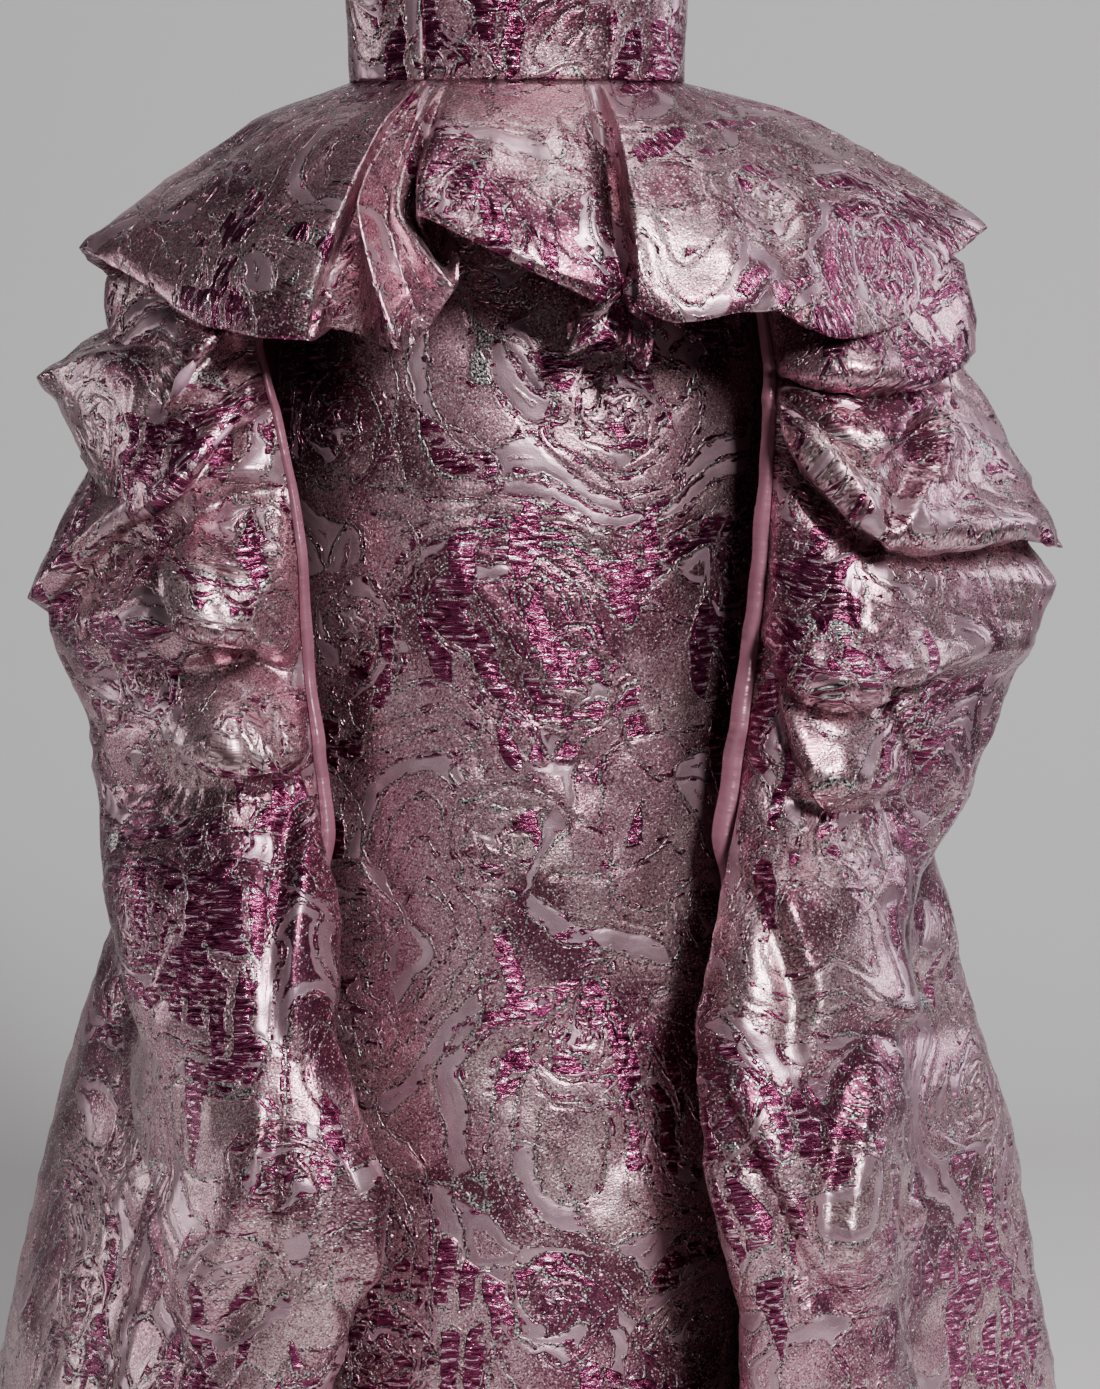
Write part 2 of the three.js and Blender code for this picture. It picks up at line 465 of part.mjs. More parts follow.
const other = ({ fold, waist, belly, hem }) => ({
  fold,
  waist: -waist,
  belly: [-belly[0], belly[1], belly[2]],
  hem: [-hem[0], hem[1], hem[2]],
});
const peplumFolds = [
  ...PEPLUM_BACK_FOLDS.map(other).reverse(),
  ...PEPLUM_FRONT_FOLDS,
  ...PEPLUM_BACK_FOLDS,
];
const peplum = thickened(peplumGrid(peplumFolds));
const peplumSide = (PEPLUM_BACK_FOLDS.length - 2) * PEPLUM_STEPS;
const peplumFrontEnd = peplumSide + (PEPLUM_FRONT_FOLDS.length + 3) * PEPLUM_STEPS;
const peplumEnd = peplum.outer[0].length - 1;
const peplumPanel = (from, to) => solid(slice(peplum, from, to, true, true, PEPLUM_SEAM_GAP));
add("peplum_back_left", peplumPanel(0, peplumSide), BROCADE);
add("peplum_front", peplumPanel(peplumSide, peplumFrontEnd), BROCADE);
add("peplum_back_right", peplumPanel(peplumFrontEnd, peplumEnd), BROCADE);

// Placket: a tape of hooks and eyes that closes the centre back from inside the bodice and the column
const PLACKET_HALF_WIDTH = 12;
const PLACKET_CLEARANCE = 0.5; // inside the wall it closes
const PLACKET_CLOTH = 1.4;
const PLACKET_TOP = 168;
const PLACKET_FOOT = -185;
const PLACKET_BEND = 1; // how far its edges bend towards the front
const AT_WAIST = [12, -4]; // heights where the tape passes from the bodice to the column

const insideOf = (wall) => wall.inner.map((row) => point(0, row[0].y - PLACKET_CLEARANCE, row[0].z));
const columnInside = insideOf(column);
const placketLine = [
  ...insideOf(bodice).filter(({ z }) => z < PLACKET_TOP && z > AT_WAIST[0] + PLACKET_HALF_WIDTH),
  ...AT_WAIST.map((z) => point(0, columnInside[0].y, z)),
  ...columnInside.filter(({ z }) => z < columnInside[0].z && z > PLACKET_FOOT),
];
const placketRows = placketLine.map((p) =>
  [1, 0, -1].map((side) =>
    p.clone().add(point(side * PLACKET_HALF_WIDTH, -Math.abs(side) * PLACKET_BEND, 0)),
  ),
);
add("closure_placket", solid(thickened(placketRows, PLACKET_CLOTH)), PLACKET);

export default gown;
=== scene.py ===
"""A strapless evening gown in rose brocade, as worn and with nobody in it.

The fold lines are the ones that part.mjs builds its solids from, in millimetres. Here they are laid
through at a finer step, and the cloth gets its creases, seams, satin edges and brocade.
"""

import math

import bpy
import numpy as np
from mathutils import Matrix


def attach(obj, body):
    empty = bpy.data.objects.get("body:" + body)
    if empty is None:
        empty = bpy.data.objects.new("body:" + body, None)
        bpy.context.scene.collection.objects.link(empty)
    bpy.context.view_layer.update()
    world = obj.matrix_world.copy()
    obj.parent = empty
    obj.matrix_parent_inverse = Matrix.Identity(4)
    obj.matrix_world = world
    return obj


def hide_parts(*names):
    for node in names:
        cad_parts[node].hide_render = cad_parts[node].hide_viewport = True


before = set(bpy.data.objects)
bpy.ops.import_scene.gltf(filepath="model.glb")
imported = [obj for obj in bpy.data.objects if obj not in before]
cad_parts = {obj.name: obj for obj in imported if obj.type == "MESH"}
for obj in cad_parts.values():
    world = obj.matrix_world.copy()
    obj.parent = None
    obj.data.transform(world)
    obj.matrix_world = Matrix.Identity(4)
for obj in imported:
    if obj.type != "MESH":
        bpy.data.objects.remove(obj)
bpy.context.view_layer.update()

# Camera, light and backdrop
# The gown stands on a pale paper sweep in plain soft studio light.

# The photograph's camera: 4.6 m in front of the gown at hip height, tilted a little down.
CAMERA_AT, TILT_DOWN = (0.0248, -4.6, -0.1), 4.4417  # metres, and degrees
LENS, SENSOR = 159.2, 36  # millimetres
camera_data = bpy.data.cameras.new("camera")
camera_data.lens = LENS
camera_data.sensor_width = SENSOR
camera_data.sensor_fit = "AUTO"
camera = bpy.data.objects.new("camera", camera_data)
camera.location = CAMERA_AT
camera.rotation_euler = (math.radians(90 - TILT_DOWN), 0, 0)
bpy.context.scene.collection.objects.link(camera)
bpy.context.scene.camera = camera


def softbox(name, at, aim, size, watts, tint=(1, 1, 1)):
    """An area light at a point, turned to aim at another."""
    data = bpy.data.lights.new(name, "AREA")
    data.shape = "RECTANGLE"
    data.size, data.size_y = size
    data.energy = watts
    data.color = tint
    lamp = bpy.data.objects.new(name, data)
    lamp.location = at
    to = np.array(aim) - np.array(at)
    lamp.rotation_euler = (
        math.atan2(math.hypot(to[0], to[1]), -to[2]),
        0,
        math.atan2(-to[0], to[1]),
    )
    bpy.context.scene.collection.objects.link(lamp)


# A big soft key from the upper right, a weaker fill from the left, and a strip from each side behind.
softbox("key", (1.6, -4.0, 1.7), (0, 0, -0.4), (0.7, 1.1), 345)
softbox("fill", (-2.6, -3.4, -0.9), (-0.1, 0, -0.8), (0.8, 1.0), 3)
softbox("top", (0.8, -0.5, 3.0), (0, 0, -0.2), (1.2, 1.2), 36)
softbox("rim_right", (2.6, 1.2, 0.6), (0.2, 0, -0.5), (0.6, 2.2), 38, (0.96, 0.90, 1.0))
softbox("rim_left", (-2.6, 1.0, -0.4), (-0.2, 0, -1.0), (0.4, 1.2), 11)

world = bpy.data.worlds.new("studio")
world.use_nodes = True
world.node_tree.nodes["Background"].inputs["Color"].default_value = (0.60, 0.60, 0.62, 1)
world.node_tree.nodes["Background"].inputs["Strength"].default_value = 0.055
bpy.context.scene.world = world

FLOOR, SWEEP_STEPS = -1.125, 12


def backdrop():
    """A pale floor that sweeps up into a wall behind the gown."""
    half, painted_outline_shade, far, radius, top = 1.7, -0.9, 3.2, 1.1, 2.6
    profile = [(painted_outline_shade, FLOOR), (far - radius, FLOOR)]
    for k in range(1, SWEEP_STEPS + 1):
        turn = math.pi / 2 * k / SWEEP_STEPS
        profile.append((far - radius + radius * math.sin(turn), FLOOR + radius * (1 - math.cos(turn))))
    profile.append((far, top))
    verts = [(x, y, z) for y, z in profile for x in (-half, half)]
    faces = [(2 * k, 2 * k + 1, 2 * k + 3, 2 * k + 2) for k in range(len(profile) - 1)]
    mesh = bpy.data.meshes.new("backdrop")
    mesh.from_pydata(verts, [], faces)
    mesh.polygons.foreach_set("use_smooth", [True] * len(faces))
    sweep = bpy.data.objects.new("backdrop", mesh)
    bpy.context.scene.collection.objects.link(sweep)
    paper = bpy.data.materials.new("backdrop_paper")
    paper.use_nodes = True
    paper.node_tree.nodes["Principled BSDF"].inputs["Base Color"].default_value = (0.655, 0.642, 0.637, 1)
    paper.node_tree.nodes["Principled BSDF"].inputs["Roughness"].default_value = 0.9
    mesh.materials.append(paper)


backdrop()

# Bodice
# Seven panels of stiff rose brocade, seamed over the bust and at the sides and boned from inside, with a
# sweetheart neckline. The brocade's roses and leaves are woven in sparkling thread, satin and foil, each
# outlined in raised thread, and the same cloth makes the skirts and the peplum.

MM = 0.001


class Socket:
    """A shader socket that can be added, multiplied and compared in plain arithmetic."""

    def __init__(self, tree, output):
        self.tree = tree
        self.output = output

    def node(self, kind, settings, links, result=0):
        """Adds a node with its settings and its sockets' values or links, and wraps one of its outputs."""
        made = self.tree.nodes.new(kind)
        for key, value in settings.items():
            setattr(made, key, value)
        for key, value in links.items():
            target = made.inputs[key]
            if isinstance(value, Socket):
                self.tree.links.new(value.output, target)
            else:
                target.default_value = value
        return Socket(self.tree, made.outputs[result])

    def math(self, operation, *values):
        return self.node("ShaderNodeMath", {"operation": operation}, dict(enumerate((self, *values))))

    def vector(self, operation, other=(0, 0, 0), result=0):
        return self.node("ShaderNodeVectorMath", {"operation": operation}, {0: self, 1: other}, result)

    def __add__(self, other):
        return self.math("ADD", other)

    def __sub__(self, other):
        return self.math("SUBTRACT", other)

    def __mul__(self, other):
        return self.math("MULTIPLY", other)

    def __truediv__(self, other):
        return self.math("DIVIDE", other)

    def __rsub__(self, other):
        return self * -1.0 + other

    __radd__, __rmul__ = __add__, __mul__

    def __or__(self, other):
        return self.math("MAXIMUM", other)

    def __and__(self, other):
        return self.math("MINIMUM", other)

    def ramp(self, low, high, to_low=0.0, to_high=1.0):
        """Eased from to_low to to_high as the value goes from low to high."""
        ends = {"Value": self, "From Min": low, "From Max": high, "To Min": to_low, "To Max": to_high}
        return self.node("ShaderNodeMapRange", {"interpolation_type": "SMOOTHSTEP"}, ends, "Result")

    def stretched(self, x, y):
        return self.vector("MULTIPLY", (x, y, 0))

    def part(self, k):
        return self.node("ShaderNodeSeparateXYZ", {}, {"Vector": self}, k)

    def noise(self, scale, detail=2.0, rough=0.5, output="Fac"):
        sizes = {"Vector": self, "Scale": scale, "Detail": detail, "Roughness": rough}
        return self.node("ShaderNodeTexNoise", {}, sizes, output)

    def cells(self, scale, randomness=1.0, feature="F1", output="Color"):
        flat = {"voronoi_dimensions": "2D", "feature": feature}
        sizes = {"Vector": self, "Scale": scale, "Randomness": randomness}
        return self.node("ShaderNodeTexVoronoi", flat, sizes, output)

    def mixed(self, first, second):
        """The colour `first` where the value is 0 and `second` where it is 1."""
        first, second = (end if isinstance(end, Socket) else (*end, 1) for end in (first, second))
        return self.node("ShaderNodeMix", {"data_type": "RGBA"}, {0: self, 6: first, 7: second}, 2)


def material(name):
    """A new material, its shader node, and its cloth coordinates in metres along and down the piece."""
    made = bpy.data.materials.new(name)
    made.use_nodes = True
    tree = made.node_tree
    cloth = tree.nodes.new("ShaderNodeUVMap")
    cloth.uv_map = "cloth"
    return made, tree, tree.nodes["Principled BSDF"], Socket(tree, cloth.outputs["UV"])


def bumped(tree, shader, height):
    """Sets a relief whose height is in metres."""
    sizes = {"Strength": 1.0, "Distance": 1.0, "Height": height}
    relief = height.node("ShaderNodeBump", {}, sizes, "Normal")
    tree.links.new(relief.output, shader.inputs["Normal"])


ROSES, ROSE_SCATTER = 6.2, 0.68  # rose centres to a metre, each way, and how far they stray
PETAL_LINE, ROSE_RINGS = 0.0112, 4.6  # how far apart a rose's outlines lie, in metres, and how many it has
STEMS, LEAVES = 25.0, 8.0  # how many outlines run between the roses, and how many cross them


def petals(turn, ring, count, twist, swell):
    """Rings that bulge into staggered petals: the outlines inside a point, and its petal's number."""
    twisted = turn * (count / 2) + ring * twist
    number = (twisted * (1 / math.pi)).math("FLOOR").math("WRAP", float(count), 0.0)
    return ring + twisted.math("SINE").math("ABSOLUTE") * swell, number


def to_line(count, apart):
    """Metres from a point to the nearest whole value of a count whose lines lie some metres apart."""
    return (0.5 - (count.math("FRACT") - 0.5).math("ABSOLUTE")) * apart


def contours(cloth, scale, lines):
    """Flowing contour lines: the count of the lines up to a point, and the metres to the nearest line."""
    step = 0.002
    here = cloth.noise(scale, 1.0, 0.5)
    beside = cloth.vector("ADD", (step, 0, 0)).noise(scale, 1.0, 0.5) - here
    below = cloth.vector("ADD", (0, step, 0)).noise(scale, 1.0, 0.5) - here
    steep = (beside * beside + below * below).math("SQRT") * (lines / step)
    return here * lines, to_line(here * lines, 1.0) / (steep | 16.0)


def brocade():
    """Roses and leaves in sparkling thread, satin and crinkled foil, outlined in raised thread."""
    made, tree, shader, cloth = material("rose_brocade")
    middle = (0.5, 0.5, 0.5)

    # The weave wanders, so that no outline is a straight line or a true circle.
    slow = cloth.noise(7.0, 2.0, 0.5, "Color").vector("SUBTRACT", middle)
    quick = cloth.noise(34.0, 3.0, 0.6, "Color").vector("SUBTRACT", middle)
    wandered = cloth.vector("ADD", slow.stretched(0.055, 0.055))
    wandered = wandered.vector("ADD", quick.stretched(0.015, 0.015)).stretched(1, 1)

    # A rose grows round each centre, its petals in rings, and stems and leaves flow between the roses.
    which = wandered.cells(ROSES, ROSE_SCATTER).part(0)
    spoke = wandered.vector("SUBTRACT", wandered.cells(ROSES, ROSE_SCATTER, output="Position"))
    radius = spoke.vector("LENGTH", result=1)
    turn = spoke.part(1).math("ARCTAN2", spoke.part(0))
    ring = radius.math("POWER", 0.88) * (0.644 / PETAL_LINE) + which
    petal_ring, petal = petals(turn, ring, 5, math.pi / 2, 0.55)
    stem, stem_edge = contours(wandered, 4.2, STEMS)
    leaf, leaf_edge = contours(wandered.vector("ADD", (3.7, 1.9, 0)), 6.5, LEAVES)
    rose = petal_ring.ramp(ROSE_RINGS - 0.02, ROSE_RINGS + 0.02, 1.0, 0.0)
    around = 1 - rose
    edge = to_line(petal_ring, PETAL_LINE) * rose + (stem_edge & leaf_edge) * around  # metres to an outline
    key = cloth.node(
        "ShaderNodeCombineXYZ",
        {},
        {
            "X": petal_ring.math("FLOOR") * rose + stem.math("FLOOR") * around,
            "Y": petal * rose + (leaf.math("FLOOR") + 11.0) * around,
            "Z": which * rose * 31.0,
        },
    )
    lots = cloth.node("ShaderNodeTexWhiteNoise", {"noise_dimensions": "3D"}, {"Vector": key}, "Color")
    first, second, third = (lots.part(k) for k in range(3))

    # Foil: broken dashes along the petals' outlines, some whole petals, and upright strips side by side.
    patches = cloth.noise(5.5, 1.0, 0.5) - 0.5
    broken = cloth.stretched(55, 110).noise(1.0, 3.0, 0.62)
    rich = (which + patches * 2.0).ramp(0.45, 0.75)
    dashes = edge.ramp(0.0008, 0.0013) * edge.ramp(0.0026, 0.0040, 1.0, 0.0)
    dashes = dashes * (broken + rich * 0.09).ramp(0.56, 0.60)
    whole = (first + rich * 0.22).ramp(0.93, 0.95) * edge.ramp(0.0012, 0.0020)
    whole = whole * (broken + rich * 0.05).ramp(0.45, 0.49)
    strip_at = wandered.stretched(44, 13)
    strip_edge = strip_at.cells(1.0, 0.75, "DISTANCE_TO_EDGE", "Distance")
    ladder = (strip_at.cells(1.0, 0.75).part(1) + patches * 2.6 - rose * 0.16).ramp(0.88, 0.90)
    strips = ladder * strip_edge.ramp(0.12, 0.15) * broken.ramp(0.36, 0.40)
    strip_line = ladder * strip_edge.ramp(0.06, 0.08) * strip_edge.ramp(0.11, 0.13, 1.0, 0.0)
    foil = dashes | whole | strips
    satin = second.ramp(0.79, 0.80) * around + second.ramp(0.83, 0.84) * rose
    satin = satin * edge.ramp(0.0010, 0.0018) * edge.ramp(0.009, 0.011, 1.0, 0.0) * (1 - (foil | ladder))

    # Outline threads are ragged and raised, and come and go.
    ragged = cloth.noise(300.0, 2.0, 0.6)
    wide = cloth.noise(30.0, 2.0, 0.5).ramp(0.35, 0.62)
    outline = (edge + (ragged - 0.5) * 0.0018 - wide * 0.0005).ramp(0.0001, 0.0006, 1.0, 0.0)
    outline = outline * cloth.noise(40.0, 2.0, 0.6).ramp(0.38, 0.43)
    outline = (outline | strip_line * ragged.ramp(0.46, 0.52)) * (1 - foil)

    # Each grain of the metallic thread takes its own tone, and a few grains are painted near white as
    # glints. The dark base shows where they thin out.
    grain = cloth.cells(1000.0)
    tone = grain.part(0)
    fleck = cloth.noise(560.0, 2.0, 0.65)
    drift = cloth.noise(8.0, 2.0, 0.5).ramp(0.38, 0.62)
    thin = (cloth.noise(6.5, 2.0, 0.55) + third * 0.06).ramp(0.50, 0.66)
    ground_dark = drift.mixed((0.13, 0.030, 0.062), (0.13, 0.048, 0.066))
    ground_light = drift.mixed((0.74, 0.40, 0.49), (0.76, 0.50, 0.54))
    ground = (tone * 0.5 + fleck * 0.9 - thin * 0.34 - 0.16).ramp(0.12, 0.78)
    ground = ground.mixed(ground_dark, ground_light)
    ground = (thin * 0.55).mixed(ground, (0.16, 0.030, 0.075))
    # Painted highlights: a few percent of the grains are painted near white as glints.
    ground = grain.part(1).ramp(0.93, 0.95).mixed(ground, (1.0, 0.88, 0.91))
    crinkle = cloth.stretched(75, 290).vector("ADD", quick.stretched(2.4, 1.6)).noise(1.0, 3.0, 0.62)
    # Foil colour with painted light: deep magenta, painted darker in the crinkles' hollows as shade and
    # pinkish white on their crests as highlights.
    foil_colour_and_painted_light = crinkle.ramp(0.34, 0.54).mixed((0.060, 0.005, 0.024), (0.26, 0.045, 0.125))
    foil_colour_and_painted_light = crinkle.ramp(0.56, 0.62).mixed(foil_colour_and_painted_light, (0.95, 0.68, 0.77))
    twill = cloth.noise(900.0, 0.0, 0.5)
    satin_colour = (cloth.noise(26.0, 3.0, 0.6) * 0.8 + twill * 0.3).ramp(0.30, 0.80)
    satin_colour = satin_colour.mixed((0.34, 0.195, 0.245), (0.60, 0.40, 0.46))
    thread_colour = fleck.ramp(0.43, 0.60).mixed((0.045, 0.024, 0.030), (0.74, 0.70, 0.69))

    colour = satin.mixed(ground, satin_colour)
    # Painted shade: within about two millimetres of every outline the colour is darkened, as if in shade
    # beside the raised thread.
    painted_outline_shade = edge.ramp(0.0, 0.0022, 0.50, 0.0) * (1 - foil)
    colour = painted_outline_shade.mixed(colour, (0.11, 0.035, 0.055))
    colour = foil.mixed(colour, foil_colour_and_painted_light)
    colour = outline.mixed(colour, thread_colour)
    tree.links.new(colour.output, shader.inputs["Base Color"])
    tree.links.new((0.30 + satin * 0.05 - foil * 0.09).output, shader.inputs["Roughness"])
    tree.links.new((0.93 - satin * 0.15).output, shader.inputs["Metallic"])

    # Relief, in metres: petals and leaves blister a little, foil crinkles and threads stand proud.
    relief = edge.ramp(0.0, 0.006) * 0.0005 + cloth.noise(40.0, 2.0, 0.5) * 0.0008
    relief = relief + foil * (crinkle * 0.0032)
    relief = relief + (1 - (satin | foil)) * (fleck * 0.00030 + tone * 0.00010)
    relief = relief + outline * (ragged * 0.0005 + 0.0001) + twill * 0.00008
    bumped(tree, shader, relief)
    return made


def satin_material(name, dark, light, rough):
    """Plain satin with a fine warp and slow changes of tone."""
    made, tree, shader, cloth = material(name)
    tone = cloth.noise(26.0).mixed(dark, light)
    tree.links.new(tone.output, shader.inputs["Base Color"])
    shader.inputs["Roughness"].default_value = rough
    shader.inputs["Metallic"].default_value = 0.15
    warp = cloth.stretched(1800, 90).noise(1.0, 1.0) * 0.00005
    pucker = cloth.stretched(40, 120).noise(1.0) * 0.0012
    bumped(tree, shader, warp + pucker)
    return made


BROCADE = brocade()
SATIN_BACK = satin_material("satin_back", (0.46, 0.25, 0.34), (0.60, 0.36, 0.46), 0.42)


def laid(points, steps, crisp=0.0):
    """Centripetal curves through the first axis of an array of points; crisp 1 leaves straight lines."""
    points = np.asarray(points, float)
    ends = np.concatenate([[2 * points[0] - points[1]], points, [2 * points[-1] - points[-2]]])
    gap = np.sqrt(np.linalg.norm(np.diff(ends, axis=0), axis=-1, keepdims=True))
    gap = np.maximum(gap, 1e-4)
    out = []
    for k in range(len(points) - 1):
        a, b, c, d = ends[k : k + 4]
        before, here, after = gap[k : k + 3]
        out_b = ((b - a) / before - (c - a) / (before + here) + (c - b) / here) * here
        out_c = ((c - b) / here - (d - b) / (here + after) + (d - c) / after) * here
        for t in np.arange(steps) / steps:
            curve = (
                b + out_b * t
                + (-3 * b + 3 * c - 2 * out_b - out_c) * t * t
                + (2 * b - 2 * c + out_b + out_c) * t**3
            )
            out.append(curve * (1 - crisp) + (b + (c - b) * t) * crisp)
    out.append(points[-1])
    return np.array(out)


def normals(grid):
    """Outward normals of a grid whose rows run down and whose columns run left to right from outside."""
    down = np.gradient(grid, axis=0)
    across = np.gradient(grid, axis=1)
    n = np.cross(down, across)
    return n / np.maximum(np.linalg.norm(n, axis=-1, keepdims=True), 1e-9)


def wandering(grid, length, seed, waves=26):
    """Smooth noise about 1 high over a grid of points in millimetres, with waves near a given length."""
    draw = np.random.default_rng(seed)
    total = np.zeros(grid.shape[:-1])
    for _ in range(waves):
        heading = draw.normal(size=3)
        heading *= 2 * math.pi / (length * draw.uniform(0.7, 1.6)) / np.linalg.norm(heading)
        total += np.sin(grid @ heading + draw.uniform(0, 2 * math.pi))
    return total / math.sqrt(waves / 2)


def crumpled(grid, amount, length, seed, ridged=0.5):
    """How far stiff cloth stands out in small broken folds: soft swells with sharper ridges."""
    soft = wandering(grid, length, seed)
    ridge = 1 - np.abs(wandering(grid, length * 1.3, seed + 1)) * 1.6
    fine = wandering(grid, length * 0.42, seed + 2)
    return amount * ((1 - ridged) * soft + ridged * ridge + 0.25 * fine)


def flattened(grid, start, rounds=400):
    """Relaxes flat coordinates until neighbours lie as far apart as they do on the cloth."""
    every = slice(None)
    first, last = slice(None, -1), slice(1, None)
    pairs = [((every, first), (every, last)), ((first, every), (last, every))]
    pairs += [((first, first), (last, last)), ((first, last), (last, first))]
    rest = [np.linalg.norm(grid[b] - grid[a], axis=-1) for a, b in pairs]
    flat = start.copy()
    for _ in range(rounds):
        move = np.zeros(flat.shape)
        count = np.zeros(flat.shape[:-1])
        for (a, b), length in zip(pairs, rest):
            gap = flat[b] - flat[a]
            now = np.maximum(np.linalg.norm(gap, axis=-1), 1e-9)
            shift = gap * (0.5 * (now - length) / now)[..., None]
            move[a] += shift
            move[b] -= shift
            count[a] += 1
            count[b] += 1
        flat += 1.3 * move / count[..., None]
    return flat


def cloth_uv(grid, at=(0.0, 0.0), strides=(8, 4)):
    """Metres across and down the cloth, from a place on the roll, as the cut piece lies flat.

    It starts as a part of a ring, which suits a flared piece, and is relaxed on ever more of its points."""
    cloth = grid * MM
    across = np.linalg.norm(np.diff(cloth, axis=1), axis=-1)
    down = np.linalg.norm(np.diff(cloth, axis=0), axis=-1)
    along = np.concatenate([np.zeros((len(cloth), 1)), np.cumsum(across, axis=1)], axis=1)
    along = along - along[:, -1:] / 2
    drop = np.concatenate([[0], np.cumsum(down.mean(axis=1))])
    wide = across.sum(axis=1)
    flare = np.polyfit(drop, wide, 1)[0]
    flare = math.copysign(max(abs(flare), 0.001), flare)
    radius = (wide.mean() / flare + drop - drop.mean())[:, None]
    turn = along / radius
    uv = np.stack([radius * np.sin(turn), radius[0] - radius * np.cos(turn)], axis=-1)
    for stride in strides:
        rows, columns = (np.unique(np.append(np.arange(0, n, stride), n - 1)) for n in grid.shape[:2])
        flat = flattened(cloth[np.ix_(rows, columns)], uv[np.ix_(rows, columns)])
        for k in (0, 1):
            wide = np.array([np.interp(np.arange(grid.shape[1]), columns, line) for line in flat[..., k]])
            uv[..., k] = np.array([np.interp(np.arange(grid.shape[0]), rows, line) for line in wide.T]).T
    return uv + at


def cloth_piece(name, grid, uv, finishes, thickness):
    """Makes a piece's cloth shell from a grid in millimetres. The grid is the outer face."""
    rows, columns = grid.shape[:2]
    index = np.arange(rows * columns).reshape(rows, columns)
    faces = np.stack([index[:-1, :-1], index[1:, :-1], index[1:, 1:], index[:-1, 1:]], axis=-1)
    faces = faces.reshape(-1, 4)
    mesh = bpy.data.meshes.new(name + "_cloth")
    mesh.from_pydata((grid.reshape(-1, 3) * MM).tolist(), [], faces.tolist())
    layer = mesh.uv_layers.new(name="cloth")
    loops = np.empty(len(mesh.loops), dtype=np.int32)
    mesh.loops.foreach_get("vertex_index", loops)
    layer.data.foreach_set("uv", uv.reshape(-1, 2)[loops].ravel())
    mesh.polygons.foreach_set("use_smooth", np.ones(len(faces), dtype=bool))
    for finish in finishes:
        mesh.materials.append(finish)
    piece = bpy.data.objects.new(name + "_cloth", mesh)
    bpy.context.scene.collection.objects.link(piece)
    shell = piece.modifiers.new("thickness", "SOLIDIFY")
    shell.thickness = thickness * MM
    shell.offset = -1
    shell.use_even_offset = False
    if len(finishes) > 1:
        shell.material_offset = 1
    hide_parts(name)
    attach(piece, "root")


def step_eased(value):
    value = np.clip(value, 0, 1)
    return value * value * (3 - 2 * value)


def hump(value, centre, width):
    return np.exp(-(((value - centre) / width) ** 2))


BODICE_SECTIONS = [  # height, half width, front depth, back depth
    (0.4, 125, 95, 95),
    (60, 128, 99, 95),
    (110, 136, 106, 99),
    (160, 146, 114, 104),
    (205, 150, 112, 106),
    (250, 151, 106, 106),
]
BODICE_SEAMS = [-180, -138, -92, -33, 33, 92, 138, 180]
BODICE_PANELS = [  # name, and the flat width, length and area of the cut in metres
    ("bodice_back_left", 0.10, 0.19, 0.0168),
    ("bodice_side_back_left", 0.11, 0.20, 0.0166),
    ("bodice_side_front_left", 0.14, 0.24, 0.0268),
    ("bodice_center_front", 0.19, 0.24, 0.0368),
    ("bodice_side_front_right", 0.14, 0.24, 0.0268),
    ("bodice_side_back_right", 0.11, 0.20, 0.0166),
    ("bodice_back_right", 0.10, 0.19, 0.0168),
]
FRONT_TOP, SIDE_TOP, BACK_TOP, WAIST_TOP = 212, 198, 176, 0.4  # heights of the neckline and the waist seam
PEAK, PEAK_SPREAD = 26, 24  # how far the neckline rises over each cup, and over how many degrees
CUP_PROUD, CUP_ANGLE, CUP_SPREAD, CUP_HEIGHT, CUP_RISE = 19, 36, 23, 158, 52
SEAM_SINK, SEAM_WIDTH = 1.1, 2.6
PANEL_COLUMNS, PANEL_ROWS = 37, 61
BROCADE_THICK = 2.0


def bodice_grid(angles, rows):
    """The bodice's outer face, its top edge following the neckline down to the waist seam."""
    side = np.abs(angles)
    front = FRONT_TOP + (SIDE_TOP - FRONT_TOP) * step_eased((side - 30) / 60)
    front = front + PEAK * hump(side, CUP_ANGLE, PEAK_SPREAD)
    back = SIDE_TOP + (BACK_TOP - SIDE_TOP) * step_eased((side - 90) / 70)
    top = np.where(side < 90, front, back)
    height = top + (WAIST_TOP - top) * np.linspace(0, 1, rows)[:, None]
    curve = laid(BODICE_SECTIONS, 12)
    half_width, front_depth, back_depth = (np.interp(height, curve[:, 0], curve[:, k]) for k in (1, 2, 3))
    rise = np.where(height > CUP_HEIGHT, CUP_RISE * 1.5, CUP_RISE)
    cup = CUP_PROUD * hump(side, CUP_ANGLE, CUP_SPREAD) * hump(height, CUP_HEIGHT, rise)
    depth = np.where(side < 90, front_depth, back_depth) + cup
    turn = np.radians(angles)
    return np.stack([(half_width + cup * 0.7) * np.sin(turn), -depth * np.cos(turn), height], axis=-1)


for k, (name, width, length, area) in enumerate(BODICE_PANELS):
    share = np.linspace(0, 1, PANEL_COLUMNS)
    angles = BODICE_SEAMS[k] + (BODICE_SEAMS[k + 1] - BODICE_SEAMS[k]) * share
    panel = bodice_grid(angles, PANEL_ROWS)
    span = np.cumsum(np.linalg.norm(np.diff(panel[PANEL_ROWS // 2], axis=0), axis=-1))
    from_seam = np.minimum(np.concatenate([[0], span]), span[-1] - np.concatenate([[0], span]))
    lift = crumpled(panel, 0.35, 34, 11 + k) - SEAM_SINK * np.exp(-((from_seam / SEAM_WIDTH) ** 2))
    uv = cloth_uv(panel, (0.31 * k + 0.05, 0.9 - 0.2 * k))
    shaped = panel + normals(panel) * lift[..., None]
    cloth_piece(
        name, shaped, uv, [BROCADE, SATIN_BACK], BROCADE_THICK,
    )

# Column skirt
# A slim tube of the brocade from the waist seam to the floor, cut as a front and two backs. It hangs
# straight, with soft folds that drag across it.

